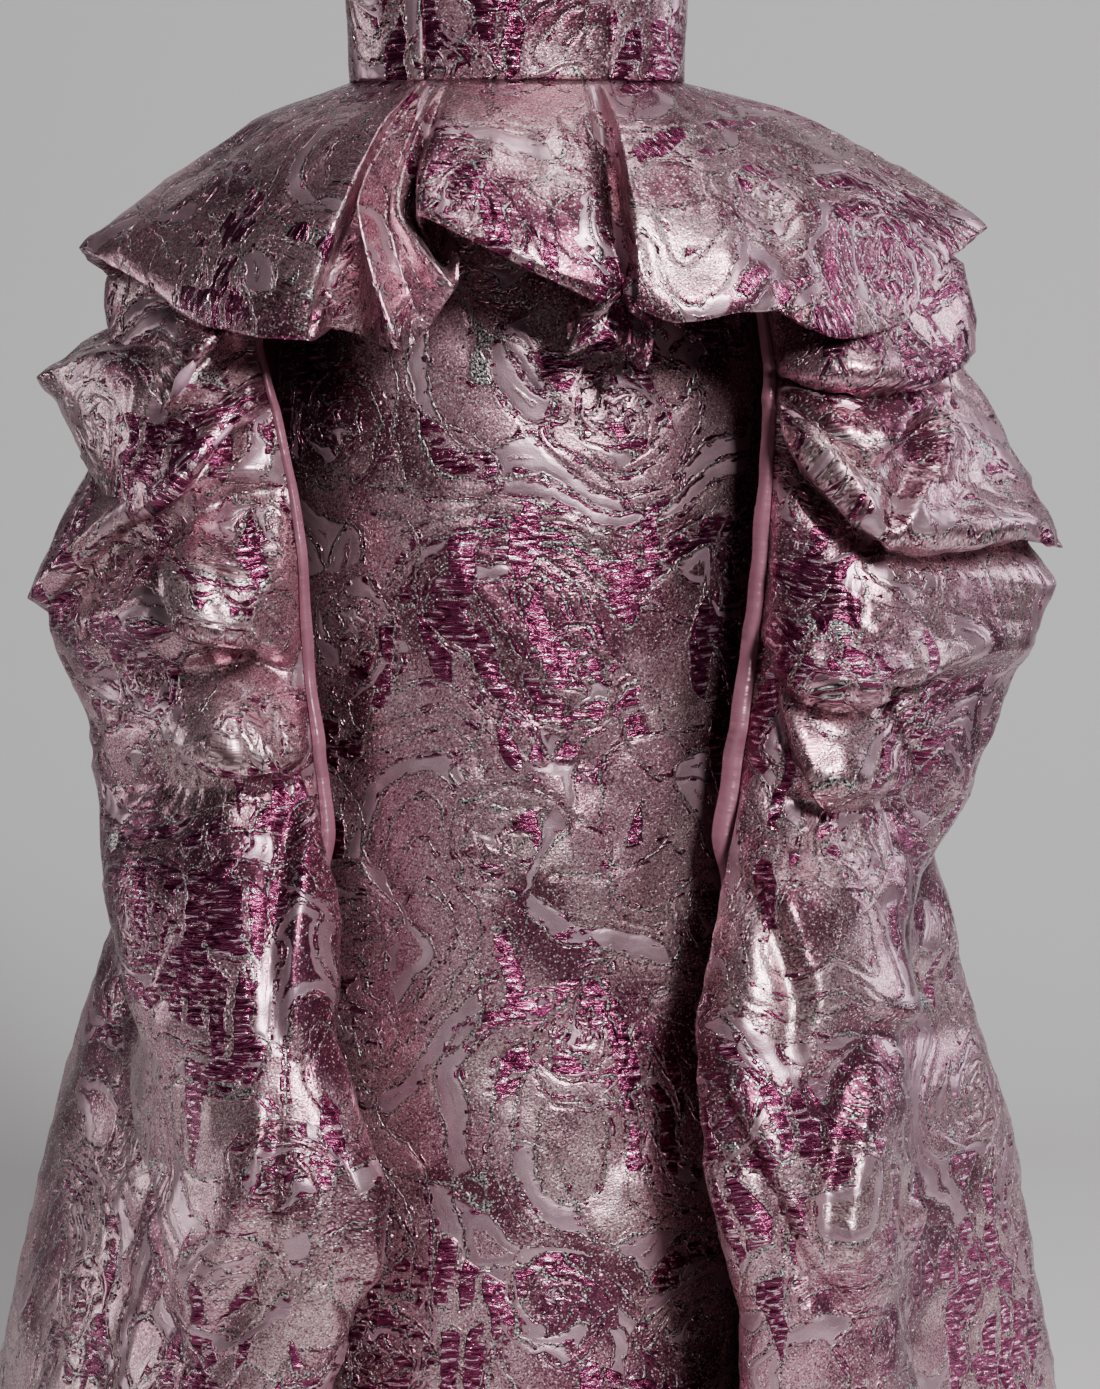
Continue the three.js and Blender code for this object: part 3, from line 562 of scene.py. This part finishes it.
def oval(angle, half_width, half_depth, centre, height):
    """A point on an oval round the body. Angle 0 is the front and 90 the right as seen from the front."""
    turn = np.radians(angle)
    return np.stack(
        [
            half_width * np.sin(turn),
            centre - half_depth * np.cos(turn),
            np.broadcast_to(height, np.shape(turn)).astype(float),
        ],
        axis=-1,
    )


def cut(grid, start, stop):
    return grid[:, start : stop + 1]


def creased(grid, folds):
    """Creases placed one by one, as seen from the front: from x and height, to x and height, depth, width.
    """
    total = np.zeros(grid.shape[:-1])
    for x0, z0, x1, z1, depth, width in folds:
        dx, dz = x1 - x0, z1 - z0
        long = math.hypot(dx, dz)
        along = ((grid[..., 0] - x0) * dx + (grid[..., 2] - z0) * dz) / long**2
        off = ((grid[..., 0] - x0) * dz - (grid[..., 2] - z0) * dx) / long
        fade = np.exp(-(((along - 0.5) / 0.42) ** 4))
        # A sharp lip on one side and a long slope on the other, as a real drag fold has
        wave = np.where(off > 0, np.exp(-off / width), np.exp(-((off / (width * 0.45)) ** 2)))
        total += depth * wave * fade
    return total


COLUMN_SECTIONS = [  # height, half width, half depth, centre behind the waist's middle
    (-3, 120.2, 89.2, 0),
    (-60, 143, 106, 4),
    (-120, 165, 120, 8),
    (-200, 181, 130, 12),
    (-300, 185, 132, 12),
    (-420, 180, 126, 10),
    (-560, 172, 118, 8),
    (-720, 168, 112, 6),
    (-900, 172, 114, 6),
    (-1121, 182, 122, 6),
]
DRAG_FOLDS = [  # from x and height, to x and height, depth, width
    (-150, -250, 70, -470, 4, 34),
    (-110, -330, 110, -560, -3.5, 26),
    (-140, -420, 20, -600, 3, 30),
    (160, -300, 40, -430, 3, 26),
    (150, -560, -30, -760, -4, 32),
    (-120, -680, 60, -860, 3.5, 34),
    (150, -760, 10, -980, 4, 36),
]
COLUMN_CREASES = [  # from x and height, to x and height, depth, width
    (-120, -300, -10, -420, 2.2, 12),
    (-60, -330, 60, -480, 2.0, 10),
    (-150, -420, -60, -470, -2.2, 10),
    (-20, -430, 90, -610, 2.4, 12),
    (-150, -500, -90, -640, 2.0, 12),
    (120, -430, 30, -560, -2.0, 10),
    (90, -600, 20, -700, 2.2, 10),
    (-110, -700, 10, -770, 2.0, 12),
    (130, -700, 40, -860, -2.4, 12),
    (-90, -820, 30, -960, 2.4, 14),
]


def column_grid(angles, rows_each):
    sections = np.array([oval(angles, a, b, c, z) for z, a, b, c in COLUMN_SECTIONS])
    grid = laid(sections, rows_each)
    x = np.where(grid[..., 1] < 0, grid[..., 0], -grid[..., 0])
    out = np.zeros(x.shape)
    for x0, z0, x1, z1, depth, width in DRAG_FOLDS:
        dx, dz = x1 - x0, z1 - z0
        long = math.hypot(dx, dz)
        along = ((x - x0) * dx + (grid[..., 2] - z0) * dz) / long**2
        off = ((x - x0) * dz - (grid[..., 2] - z0) * dx) / long
        out += depth * hump(off, 0, width) * hump(along, 0.5, 0.5)
    out[0] = 0
    flat = grid * (1, 1, 0)
    return grid + flat / np.linalg.norm(flat, axis=-1, keepdims=True) * out[..., None]


COLUMN_AROUND, COLUMN_DOWN = 208, 22  # steps all round, and from each section to the next
COLUMN_SEAMS = (56, 152)  # the steps at which the front is sewn to the backs
column = column_grid(np.linspace(-180, 180, COLUMN_AROUND + 1), COLUMN_DOWN)
seen = column * np.where(column[..., 1:2] < 0, (1, 1, 1), (-1, 1, 1))
calm = step_eased((-column[..., 2] - 20) / 160)
column_lift = (crumpled(column, 1.0, 70, 31) + creased(seen, COLUMN_CREASES)) * calm
column_cloth = column + normals(column) * column_lift[..., None]
for name, above, start, stop, width, area, at in (
    ("column_back_left", "bodice_back_left", 0, COLUMN_SEAMS[0], 0.29, 0.277, (0.4, -0.1)),
    ("column_front", "bodice_center_front", *COLUMN_SEAMS, 0.50, 0.487, (0.02, 0.31)),
    ("column_back_right", "bodice_back_right", COLUMN_SEAMS[1], COLUMN_AROUND, 0.29, 0.277, (-0.7, 0.2)),
):
    part = cut(column_cloth, start, stop)
    uv = cloth_uv(part, at)
    cloth_piece(
        name, part, uv, [BROCADE, SATIN_BACK], BROCADE_THICK,
    )

# Overskirt
# Two draped halves of the brocade, sewn into the waist seam and open at the front. Each is caught up at
# the side into tiers of swags, then hangs in deep upright folds and runs out into a short train.

LIP_DROP, LIP_SHADE = 4.5, 0.35


def lipped(grid, lips):
    """Folds that stand proud on the left of their course and drop off sharply on the right of it.

    Each is (depth, width, points as x and z seen from the front), in millimetres."""
    total = np.zeros(grid.shape[:-1])
    for depth, width, course in lips:
        course = np.array(course, float)
        runs = np.linalg.norm(np.diff(course, axis=0), axis=-1)
        nearest = np.full(total.shape, np.inf)
        side = np.zeros(total.shape)
        place = np.zeros(total.shape)
        done = 0.0
        for here, there, run in zip(course[:-1], course[1:], runs):
            dx, dz = (there - here) / run
            along = (grid[..., 0] - here[0]) * dx + (grid[..., 2] - here[1]) * dz
            over = (grid[..., 2] - here[1]) * dx - (grid[..., 0] - here[0]) * dz
            stop = np.clip(along, 0, run)
            away = np.hypot(over, along - stop)
            closer = away < nearest
            nearest = np.where(closer, away, nearest)
            side = np.where(closer, over, side)
            place = np.where(closer, done + stop, place)
            done += run
        taper = np.sin(math.pi * np.clip(place / done, 0.0, 1.0)) ** 0.6
        proud = np.exp(-((nearest / width) ** 1.5))
        drop = np.exp(-((nearest / LIP_DROP) ** 2))
        shade = LIP_SHADE * np.exp(-(((nearest - 2.6 * LIP_DROP) / (2.2 * LIP_DROP)) ** 2))
        total += depth * taper * np.where(side > 0, proud, drop - shade * (1 - drop))
    return total


# Each row: across, for the edge, lap, corner, nook and rear; how deep the edge, belly and centre back lie;
# and the heights of the edge, lap, front, apex, flank, corner and centre back.
RIGHT_SWAGS = [
    ((120, 136, 216, 196, 160), (92, 104, 150), (-72, -70, -68, -66, -64, -62, -60)),
    ((178, 184, 334, 284, 226), (112, 126, 190), (-150, -148, -146, -144, -142, -134, -150)),
    ((190, 196, 344, 316, 256), (116, 160, 216), (-207, -211, -211, -212, -217, -200, -222)),
    ((190, 195, 326, 306, 262), (113, 122, 222), (-212, -212, -206, -204, -206, -196, -232)),
    ((190, 197, 350, 340, 296), (116, 160, 240), (-217, -226, -244, -262, -250, -236, -262)),
    ((190, 198, 376, 356, 306), (116, 156, 246), (-222, -236, -268, -296, -296, -290, -300)),
    ((190, 205, 409, 384, 330), (118, 172, 268), (-232, -252, -296, -334, -331, -347, -340)),
    ((190, 200, 384, 364, 312), (114, 120, 246), (-240, -256, -290, -318, -318, -340, -346)),
    ((187, 196, 404, 384, 324), (116, 146, 258), (-300, -312, -336, -356, -362, -374, -380)),
    ((184, 190, 396, 376, 320), (114, 160, 262), (-350, -360, -384, -392, -394, -396, -404)),
    ((180, 190, 388, 370, 318), (114, 170, 264), (-392, -404, -432, -440, -424, -420, -426)),
    ((178, 184, 372, 358, 314), (108, 132, 258), (-410, -414, -424, -430, -436, -440, -446)),
    ((170, 186, 346, 338, 312), (118, 158, 264), (-474, -484, -504, -508, -510, -512, -516)),
    ((167, 174, 340, 332, 312), (108, 136, 262), (-494, -506, -524, -530, -534, -536, -540)),
]
LEFT_SWAGS = [
    ((120, 136, 200, 188, 156), (92, 104, 150), (-74, -72, -72, -70, -70, -70, -60)),
    ((182, 190, 306, 282, 224), (112, 108, 190), (-140, -140, -140, -142, -144, -144, -150)),
    ((192, 202, 306, 290, 250), (118, 150, 216), (-176, -176, -190, -214, -250, -176, -222)),
    ((191, 198, 296, 286, 248), (112, 108, 222), (-181, -180, -180, -186, -200, -178, -244)),
    ((190, 197, 358, 344, 290), (114, 118, 244), (-196, -196, -204, -206, -200, -219, -250)),
    ((186, 193, 344, 330, 286), (116, 134, 244), (-210, -214, -238, -262, -262, -238, -272)),
    ((181, 192, 326, 316, 290), (118, 156, 256), (-232, -238, -262, -290, -320, -280, -318)),
    ((179, 184, 312, 302, 280), (112, 112, 240), (-240, -244, -256, -264, -268, -268, -318)),
    ((171, 180, 367, 352, 312), (114, 130, 262), (-276, -282, -284, -296, -322, -384, -372)),
    ((167, 176, 350, 338, 306), (112, 114, 254), (-296, -298, -302, -318, -350, -394, -392)),
    ((160, 172, 350, 338, 308), (116, 160, 262), (-346, -352, -366, -362, -384, -408, -410)),
    ((158, 170, 346, 336, 306), (114, 164, 262), (-400, -412, -404, -396, -402, -424, -428)),
    ((156, 166, 334, 326, 304), (108, 118, 256), (-430, -430, -424, -428, -436, -452, -458)),
    ((150, 164, 314, 310, 304), (116, 158, 262), (-486, -486, -494, -486, -476, -490, -506)),
    ((147, 160, 304, 302, 304), (108, 136, 262), (-510, -512, -520, -520, -518, -526, -540)),
]
FALL_HEIGHTS = (-590, -690, -800, -900, -1000, -1124)
# Each row is one upright fold: (across, depth) at each of those heights, from the edge to the centre back
RIGHT_FALLS = [
    [(156, -116), (164, -104), (168, -104), (172, -100), (166, -96), (158, -92)],
    [(150, -150), (130, -172), (138, -190), (168, -186), (168, -168), (150, -160)],
    [(180, -172), (160, -206), (176, -212), (206, -206), (204, -196), (186, -200)],
    [(232, -168), (232, -182), (240, -196), (258, -182), (258, -188), (252, -206)],
    [(284, -104), (284, -116), (288, -118), (294, -114), (296, -118), (300, -134)],
    [(306, -8), (276, -46), (274, -42), (278, -38), (282, -40), (296, -50)],
    [(302, 66), (288, 60), (292, 64), (302, 76), (318, 82), (336, 84)],
    [(322, 168), (348, 192), (382, 218), (404, 238), (424, 252), (446, 270)],
    [(214, 282), (246, 330), (282, 388), (300, 436), (314, 486), (328, 548)],
    [(0, 286), (0, 330), (0, 396), (0, 462), (0, 536), (0, 620)],
]
LEFT_FALLS = [
    [(143, -118), (148, -104), (140, -108), (140, -104), (150, -98), (150, -92)],
    [(139, -150), (132, -166), (100, -190), (116, -192), (150, -172), (142, -164)],
    [(170, -170), (166, -196), (138, -214), (148, -210), (184, -194), (178, -202)],
    [(222, -164), (216, -186), (196, -204), (206, -184), (240, -184), (244, -206)],
    [(284, -100), (274, -114), (248, -114), (268, -104), (304, -104), (322, -122)],
    [(298, -8), (278, -46), (276, -42), (294, -40), (326, -46), (350, -54)],
    [(290, 66), (288, 52), (300, 20), (330, 20), (358, 22), (380, 26)],
    [(302, 170), (332, 198), (366, 222), (390, 242), (410, 256), (434, 274)],
    [(206, 282), (240, 330), (276, 388), (296, 436), (310, 486), (326, 548)],
    [(0, 286), (0, 330), (0, 396), (0, 462), (0, 536), (0, 620)],
]
WAIST_ANGLES = np.array([44, 50, 57, 65, 76, 90, 104, 122, 150, 180])
BETWEEN = ((0.17, 0.98), (0.34, 1), (0.66, 0.66))
STATION_STEPS, SWAG_STEPS, SWAG_CRISP = 16, 13, 0.7
SIDE_BACK = 7 * STATION_STEPS  # the seam between the side and the back, in steps from the front edge


def swag_line(across, deep, height):
    """One swag's ten stations, from the open front edge round to the centre back."""
    edge, lap, corner, nook, rear = across
    edge_deep, belly, back = deep
    edge_z, lap_z, front_z, apex_z, flank_z, corner_z, back_z = height
    line = [(edge, -edge_deep, edge_z), (lap, -(edge_deep + (belly - edge_deep) * 0.55), lap_z)]
    for (out, forward), z in zip(BETWEEN, (front_z, apex_z, flank_z)):
        line.append((lap + (corner - lap) * out, -belly * forward, z))
    drop = back_z - corner_z
    line.append((corner, 0, corner_z))
    line.append((nook, back * 0.3, corner_z + drop * 0.25))
    line.append((rear, back * 0.66, corner_z + drop * 0.5))
    line.append((rear * 0.62, back * 0.93, corner_z + drop * 0.8))
    line.append((0, back, back_z))
    return line


def overskirt_grid(swags, falls):
    rows = [oval(WAIST_ANGLES, 122.8, 92.8, 0, -1.7)]
    rows += [np.array(swag_line(*swag), float) for swag in swags]
    for k, height in enumerate(FALL_HEIGHTS):
        rows.append(np.array([(*fold[k], height) for fold in falls], float))
    lines = np.array(rows)
    along = laid(np.swapaxes(lines, 0, 1), STATION_STEPS)
    return laid(np.swapaxes(along, 0, 1), SWAG_STEPS, SWAG_CRISP)


RIGHT_LIPS = [  # depth, width, and the course as x and height
    (14, 30, [(186, -211), (243, -211), (290, -216), (317, -210), (336, -202)]),
    (20, 30, [(250, -276), (277, -252), (297, -243), (320, -224)]),
    (17, 40, [(186, -224), (210, -260), (230, -294), (251, -316), (276, -336)]),
    (20, 24, [(320, -226), (303, -262), (288, -298), (274, -333)]),
    (14, 30, [(268, -334), (314, -330), (351, -329), (388, -331), (402, -344)]),
    (19, 44, [(178, -396), (204, -423), (237, -436), (264, -438), (280, -420)]),
    (17, 44, [(192, -412), (197, -455), (207, -489), (219, -507), (234, -540)]),
    (8, 40, [(272, -418), (291, -462), (305, -499), (336, -530)]),
    (15, 34, [(160, -560), (196, -606), (214, -660), (208, -716)]),
    (14, 30, [(238, -672), (262, -676), (292, -690), (312, -712)]),
    (15, 44, [(262, -700), (240, -770), (232, -830), (246, -892)]),
    (14, 40, [(150, -716), (190, -790), (216, -850), (262, -905)]),
    (12, 40, [(300, -760), (292, -830), (306, -900), (300, -980)]),
]
LEFT_LIPS = [
    (8, 50, [(-284, -254), (-260, -227), (-236, -201), (-210, -180)]),
    (8, 50, [(-278, -323), (-248, -296), (-226, -268), (-210, -238)]),
    (-6, 20, [(-236, -300), (-285, -332), (-325, -369), (-350, -395)]),
    (14, 60, [(-230, -318), (-247, -348), (-250, -372), (-239, -395), (-208, -403), (-186, -409)]),
    (12, 60, [(-186, -424), (-196, -434), (-215, -443), (-233, -462), (-244, -490)]),
    (11, 44, [(-250, -474), (-215, -496), (-178, -496), (-140, -480)]),
    (14, 40, [(-146, -500), (-158, -560), (-166, -640), (-160, -700)]),
    (14, 50, [(-300, -470), (-316, -540), (-312, -640), (-296, -720)]),
    (15, 40, [(-236, -930), (-204, -860), (-186, -800), (-180, -730)]),
    (14, 30, [(-296, -720), (-262, -800), (-240, -860), (-232, -930)]),
    (12, 36, [(-130, -760), (-112, -820), (-104, -900), (-122, -970)]),
]


EDGE_CALM = 34  # the front edges hang straight: creases fade out within this many millimetres of them


def overskirt_side(grid, side, lips, seed):
    """Adds the creases to one half of the overskirt, left to right as seen from outside."""
    if side < 0:
        grid = grid[:, ::-1] * (-1, 1, 1)
    front = step_eased((60 - grid[..., 1]) / 80)
    drop = step_eased((-grid[..., 2] - 120) / 60)
    from_edge = grid[:, :1] if side > 0 else grid[:, -1:]
    away = np.linalg.norm((grid - from_edge) * (1, 1, 0), axis=-1)
    calm = 0.12 + 0.88 * step_eased(away / EDGE_CALM)
    lift = crumpled(grid, 1.3, 66, seed) + crumpled(grid, 0.5, 24, seed + 5)
    # Hidden sides carry creases like the ones in front
    turned = grid * (0.45, 1, 1) + (side * 170, 0, -30)
    lift = lift + lipped(grid, lips) * front + lipped(turned, lips) * (1 - front)
    return grid + normals(grid) * (lift * drop * calm)[..., None]


right_over = overskirt_side(overskirt_grid(RIGHT_SWAGS, RIGHT_FALLS), 1, RIGHT_LIPS, 51)
left_over = overskirt_side(overskirt_grid(LEFT_SWAGS, LEFT_FALLS), -1, LEFT_LIPS, 71)
end = right_over.shape[1] - 1
FRONT_CUT, BACK_CUT = (0.80, 1.35), (0.62, 1.45)
for name, over, whole, start, stop, flat, area, at in (
    ("overskirt_right", "column_front", right_over, 0, SIDE_BACK, FRONT_CUT, 0.734, (0.45, 0.62)),
    ("overskirt_back_right", "column_back_right", right_over, SIDE_BACK, end, BACK_CUT, 0.531, (1.25, 0.1)),
    ("overskirt_left", "column_front", left_over, end - SIDE_BACK, end, FRONT_CUT, 0.682, (-0.62, 0.44)),
    ("overskirt_back_left", "column_back_left", left_over, 0, end - SIDE_BACK, BACK_CUT, 0.505, (-1.4, 0.3)),
):
    part = cut(whole, start, stop)
    uv = cloth_uv(part, at)
    cloth_piece(
        name, part, uv, [BROCADE, SATIN_BACK], BROCADE_THICK,
    )

# Satin facings
# Strips of rose satin that face the overskirt's front edges and roll out along them.

SATIN = satin_material("rose_satin", (0.17, 0.055, 0.085), (0.38, 0.16, 0.22), 0.30)
ROLL_PROUD, ROLL_BACK, SATIN_THICK = 2.0, 4.0, 1.2
WIDE_AT_TOP, WIDE_AT_FOOT = 0.6, 1.5  # shares of a facing's middle width
FACING_TOP, FACING_FOOT = -100, -592  # heights
FACING_ROWS, FACING_COLUMNS = 240, 17


def facing_piece(name, grid, side, seed, wide):
    """The satin that rolls out along the overskirt's front edge."""
    edge = grid[:, 0 if side > 0 else -1]
    edge = edge[(edge[:, 2] < FACING_TOP) & (edge[:, 2] > FACING_FOOT)]
    down = np.concatenate([[0], np.cumsum(np.linalg.norm(np.diff(edge, axis=0), axis=-1))])
    steps = np.linspace(0, down[-1], FACING_ROWS)
    edge = np.stack([np.interp(steps, down, edge[:, k]) for k in range(3)], axis=-1)
    draw = np.random.default_rng(seed)
    wave = sum(
        np.sin(steps * 2 * math.pi / draw.uniform(40, 160) + draw.uniform(0, 6.3)) for _ in range(6)
    ) / 5
    share = np.linspace(0, 1, FACING_COLUMNS)
    ends = np.minimum(steps, steps[-1] - steps)
    taper = (0.35 + 0.65 * step_eased(ends / 40))[:, None]
    spread = WIDE_AT_TOP + (WIDE_AT_FOOT - WIDE_AT_TOP) * (steps / steps[-1])[:, None]
    width = (wide * spread + 0.9 * wave[:, None]) * taper
    inward = width * (share + 0.03)
    proud = ROLL_PROUD * np.sin(math.pi * np.clip(share * 1.12 - 0.06, 0, 1)) * taper
    proud = proud + 0.5 * wave[:, None] * share
    rows = np.stack(
        [
            edge[:, None, 0] - side * inward,
            edge[:, None, 1] - proud + ROLL_BACK * share**2,
            edge[:, None, 2] + 0 * inward,
        ],
        axis=-1,
    )
    if side > 0:
        rows = rows[:, ::-1]
    cloth_piece(name, rows, cloth_uv(rows), [SATIN], SATIN_THICK)


facing_piece("satin_facing_left", left_over, -1, 91, 7)
facing_piece("satin_facing_right", right_over, 1, 92, 11)

# Peplum
# A bubble of the brocade, sewn into the waist seam over the skirts. It swells over the hips in pleated
# lobes, two of them folded into knots, and its hem rolls under to the inside.

# Each fold: its angle on the waist seam, then the belly and the hem as (across, depth, height)
PEPLUM_FRONT_FOLDS = [
    (-90, (-252, -2, -70), (-330, 0, -123)),
    (-78, (-236, -66, -84), (-302, -48, -136)),
    (-66, (-208, -118, -98), (-264, -106, -156)),
    (-54, (-178, -156, -104), (-234, -146, -176)),
    (-43, (-152, -180, -106), (-196, -176, -185)),
    (-34, (-126, -188, -98), (-152, -194, -188)),
    (-32.5, (-120, -146, -100), (-142, -150, -180)),
    (-31, (-108, -150, -98), (-112, -156, -186)),
    (-29.5, (-114, -186, -90), (-84, -194, -197)),
    (-27.5, (-92, -162, -98), (-66, -172, -180)),
    (-25.5, (-86, -176, -94), (-44, -198, -150)),
    (-23, (-74, -152, -90), (-62, -158, -124)),
    (-19, (-68, -186, -72), (-69, -202, -99)),
    (-11, (-42, -198, -84), (-38, -216, -114)),
    (-2, (-8, -204, -94), (-6, -222, -129)),
    (8, (28, -204, -100), (32, -218, -148)),
    (17, (54, -200, -100), (64, -212, -161)),
    (23, (63, -188, -92), (79, -202, -150)),
    (24.5, (62, -152, -108), (38, -184, -199)),
    (25.5, (70, -140, -110), (70, -178, -186)),
    (26.5, (78, -142, -110), (95, -190, -210)),
    (28, (82, -156, -104), (102, -186, -182)),
    (30, (83, -200, -90), (85, -219, -164)),
    (39, (112, -194, -94), (116, -222, -175)),
    (49, (148, -184, -98), (164, -214, -168)),
    (57, (174, -160, -100), (190, -202, -167)),
    (65, (204, -148, -99), (213, -194, -180)),
    (73, (232, -122, -96), (240, -172, -188)),
    (79, (256, -86, -86), (284, -126, -178)),
    (85, (266, -42, -68), (320, -66, -134)),
    (90, (268, -2, -52), (354, 0, -108)),
]
PEPLUM_BACK_FOLDS = [
    (98, (256, 52, -66), (324, 58, -136)),
    (110, (224, 118, -92), (276, 138, -172)),
    (124, (178, 168, -98), (216, 204, -184)),
    (138, (130, 202, -96), (150, 244, -188)),
    (142, (112, 184, -100), (128, 216, -182)),
    (152, (84, 218, -98), (92, 262, -178)),
    (168, (38, 226, -98), (42, 274, -176)),
    (180, (0, 228, -98), (0, 278, -176)),
]
PEPLUM_CREASES = [  # from x and height, to x and height, depth, width
    (-120, -30, -190, -110, 4, 10),
    (-150, -50, -250, -120, 4, 11),
    (-230, -80, -300, -128, 3, 9),
    (-200, -100, -150, -170, 3, 10),
    (-60, -30, -104, -150, 3, 8),
    (-90, -120, -60, -170, 3, 7),
    (-10, -40, -40, -100, 3, 12),
    (30, -60, 10, -130, 3, 10),
    (110, -20, 180, -70, 4, 11),
    (130, -60, 230, -90, 4, 12),
    (180, -40, 290, -80, 4, 11),
    (200, -100, 300, -108, 4, 10),
    (240, -120, 320, -100, 3, 9),
    (130, -110, 190, -150, 3, 10),
]
ROLL_ROUND, ROLL_TUCK, ROLL_RISE, ROLL_BELOW = 9, 15, 22, 8
PUFF_SHARE, PUFF_OUT, PUFF_IN = 0.20, 4, 3  # the lobe's roundness just above the hem
PEPLUM_STEPS, PEPLUM_CRISP, FOLD_CRISP, PEPLUM_THICK = 8, 0.55, 0.3, 1.8


def peplum_line(waist, belly, hem):
    """One fold line, from the waist seam over the belly to the rolled hem and under it."""
    top = oval(waist, 124.8, 94.8, 0, 0)
    belly, hem = np.array(belly, float), np.array(hem, float)
    upper = np.array([(top[0] + belly[0]) / 2, (top[1] + belly[1]) / 2, belly[2] * 0.36])
    inward = -hem * (1, 1, 0) / np.hypot(hem[0], hem[1])
    reach = max(np.hypot(hem[0], hem[1]) - np.hypot(belly[0], belly[1]), 1)
    puffed = hem + (belly - hem) * PUFF_SHARE - inward * PUFF_OUT
    hem = hem + inward * PUFF_IN
    rise = min(ROLL_RISE, (belly[2] - hem[2]) / reach * ROLL_TUCK - ROLL_BELOW)
    under = hem + inward * ROLL_ROUND + (0, 0, rise * 0.12)
    tuck = hem + inward * ROLL_TUCK + (0, 0, rise)
    return [top, upper, belly, puffed, hem, under, tuck]


def other_side(fold):
    waist, belly, hem = fold
    return (-waist, (-belly[0], *belly[1:]), (-hem[0], *hem[1:]))


folds = [other_side(fold) for fold in reversed(PEPLUM_BACK_FOLDS)] + PEPLUM_FRONT_FOLDS + PEPLUM_BACK_FOLDS
lines = np.array([peplum_line(*fold) for fold in folds])
along = laid(np.swapaxes(lines, 0, 1), PEPLUM_STEPS, FOLD_CRISP)
peplum = np.swapaxes(laid(np.swapaxes(along, 0, 1), PEPLUM_STEPS, PEPLUM_CRISP), 0, 1)
free = step_eased((-peplum[..., 2] - 4) / 30)
front = step_eased((30 - peplum[..., 1]) / 60)
peplum_lift = crumpled(peplum, 0.9, 60, 121) + crumpled(peplum, 0.4, 22, 127)
peplum_lift = peplum_lift + creased(peplum, PEPLUM_CREASES) * front
peplum_cloth = peplum + normals(peplum) * (peplum_lift * free)[..., None]
side = (len(PEPLUM_BACK_FOLDS) - 2) * PEPLUM_STEPS
front_end = side + (len(PEPLUM_FRONT_FOLDS) + 3) * PEPLUM_STEPS
back_end = peplum.shape[1] - 1
for name, over, start, stop, flat, area, at in (
    ("peplum_back_left", ["overskirt_back_left"], 0, side, (0.40, 0.28), 0.073, (-0.3, -0.4)),
    (
        "peplum_front", ["overskirt_left", "overskirt_right"],
        side, front_end, (1.15, 0.30), 0.28, (0.12, -0.24),
    ),
    ("peplum_back_right", ["overskirt_back_right"], front_end, back_end, (0.40, 0.28), 0.073, (0.9, -0.5)),
):
    part = cut(peplum_cloth, start, stop)
    uv = cloth_uv(part, at, (8, 4, 2))
    cloth_piece(name, part, uv, [BROCADE], PEPLUM_THICK)

# Closure
# A tape of hooks and eyes, sewn behind the centre-back seam from the bodice's top into the column.

TAPE = satin_material("placket_tape", (0.16, 0.10, 0.13), (0.22, 0.15, 0.18), 0.7)
TAPE_LINE = [  # depth and height
    (100.5, 157),
    (96.6, 110),
    (92.2, 60),
    (91.8, 26),
    (86.2, 12),
    (86.2, -4),
    (98, -40),
    (114, -90),
    (129, -150),
    (134, -173),
]
TAPE_ACROSS, TAPE_THICK = (12, 6, 0, -6, -12), 1.4
tape_line = laid([(0, depth, height) for depth, height in TAPE_LINE], 8)
tape = np.stack([tape_line + (x, 0, 0) for x in TAPE_ACROSS], axis=1)
cloth_piece(
    "closure_placket", tape, cloth_uv(tape), [TAPE], TAPE_THICK,
)
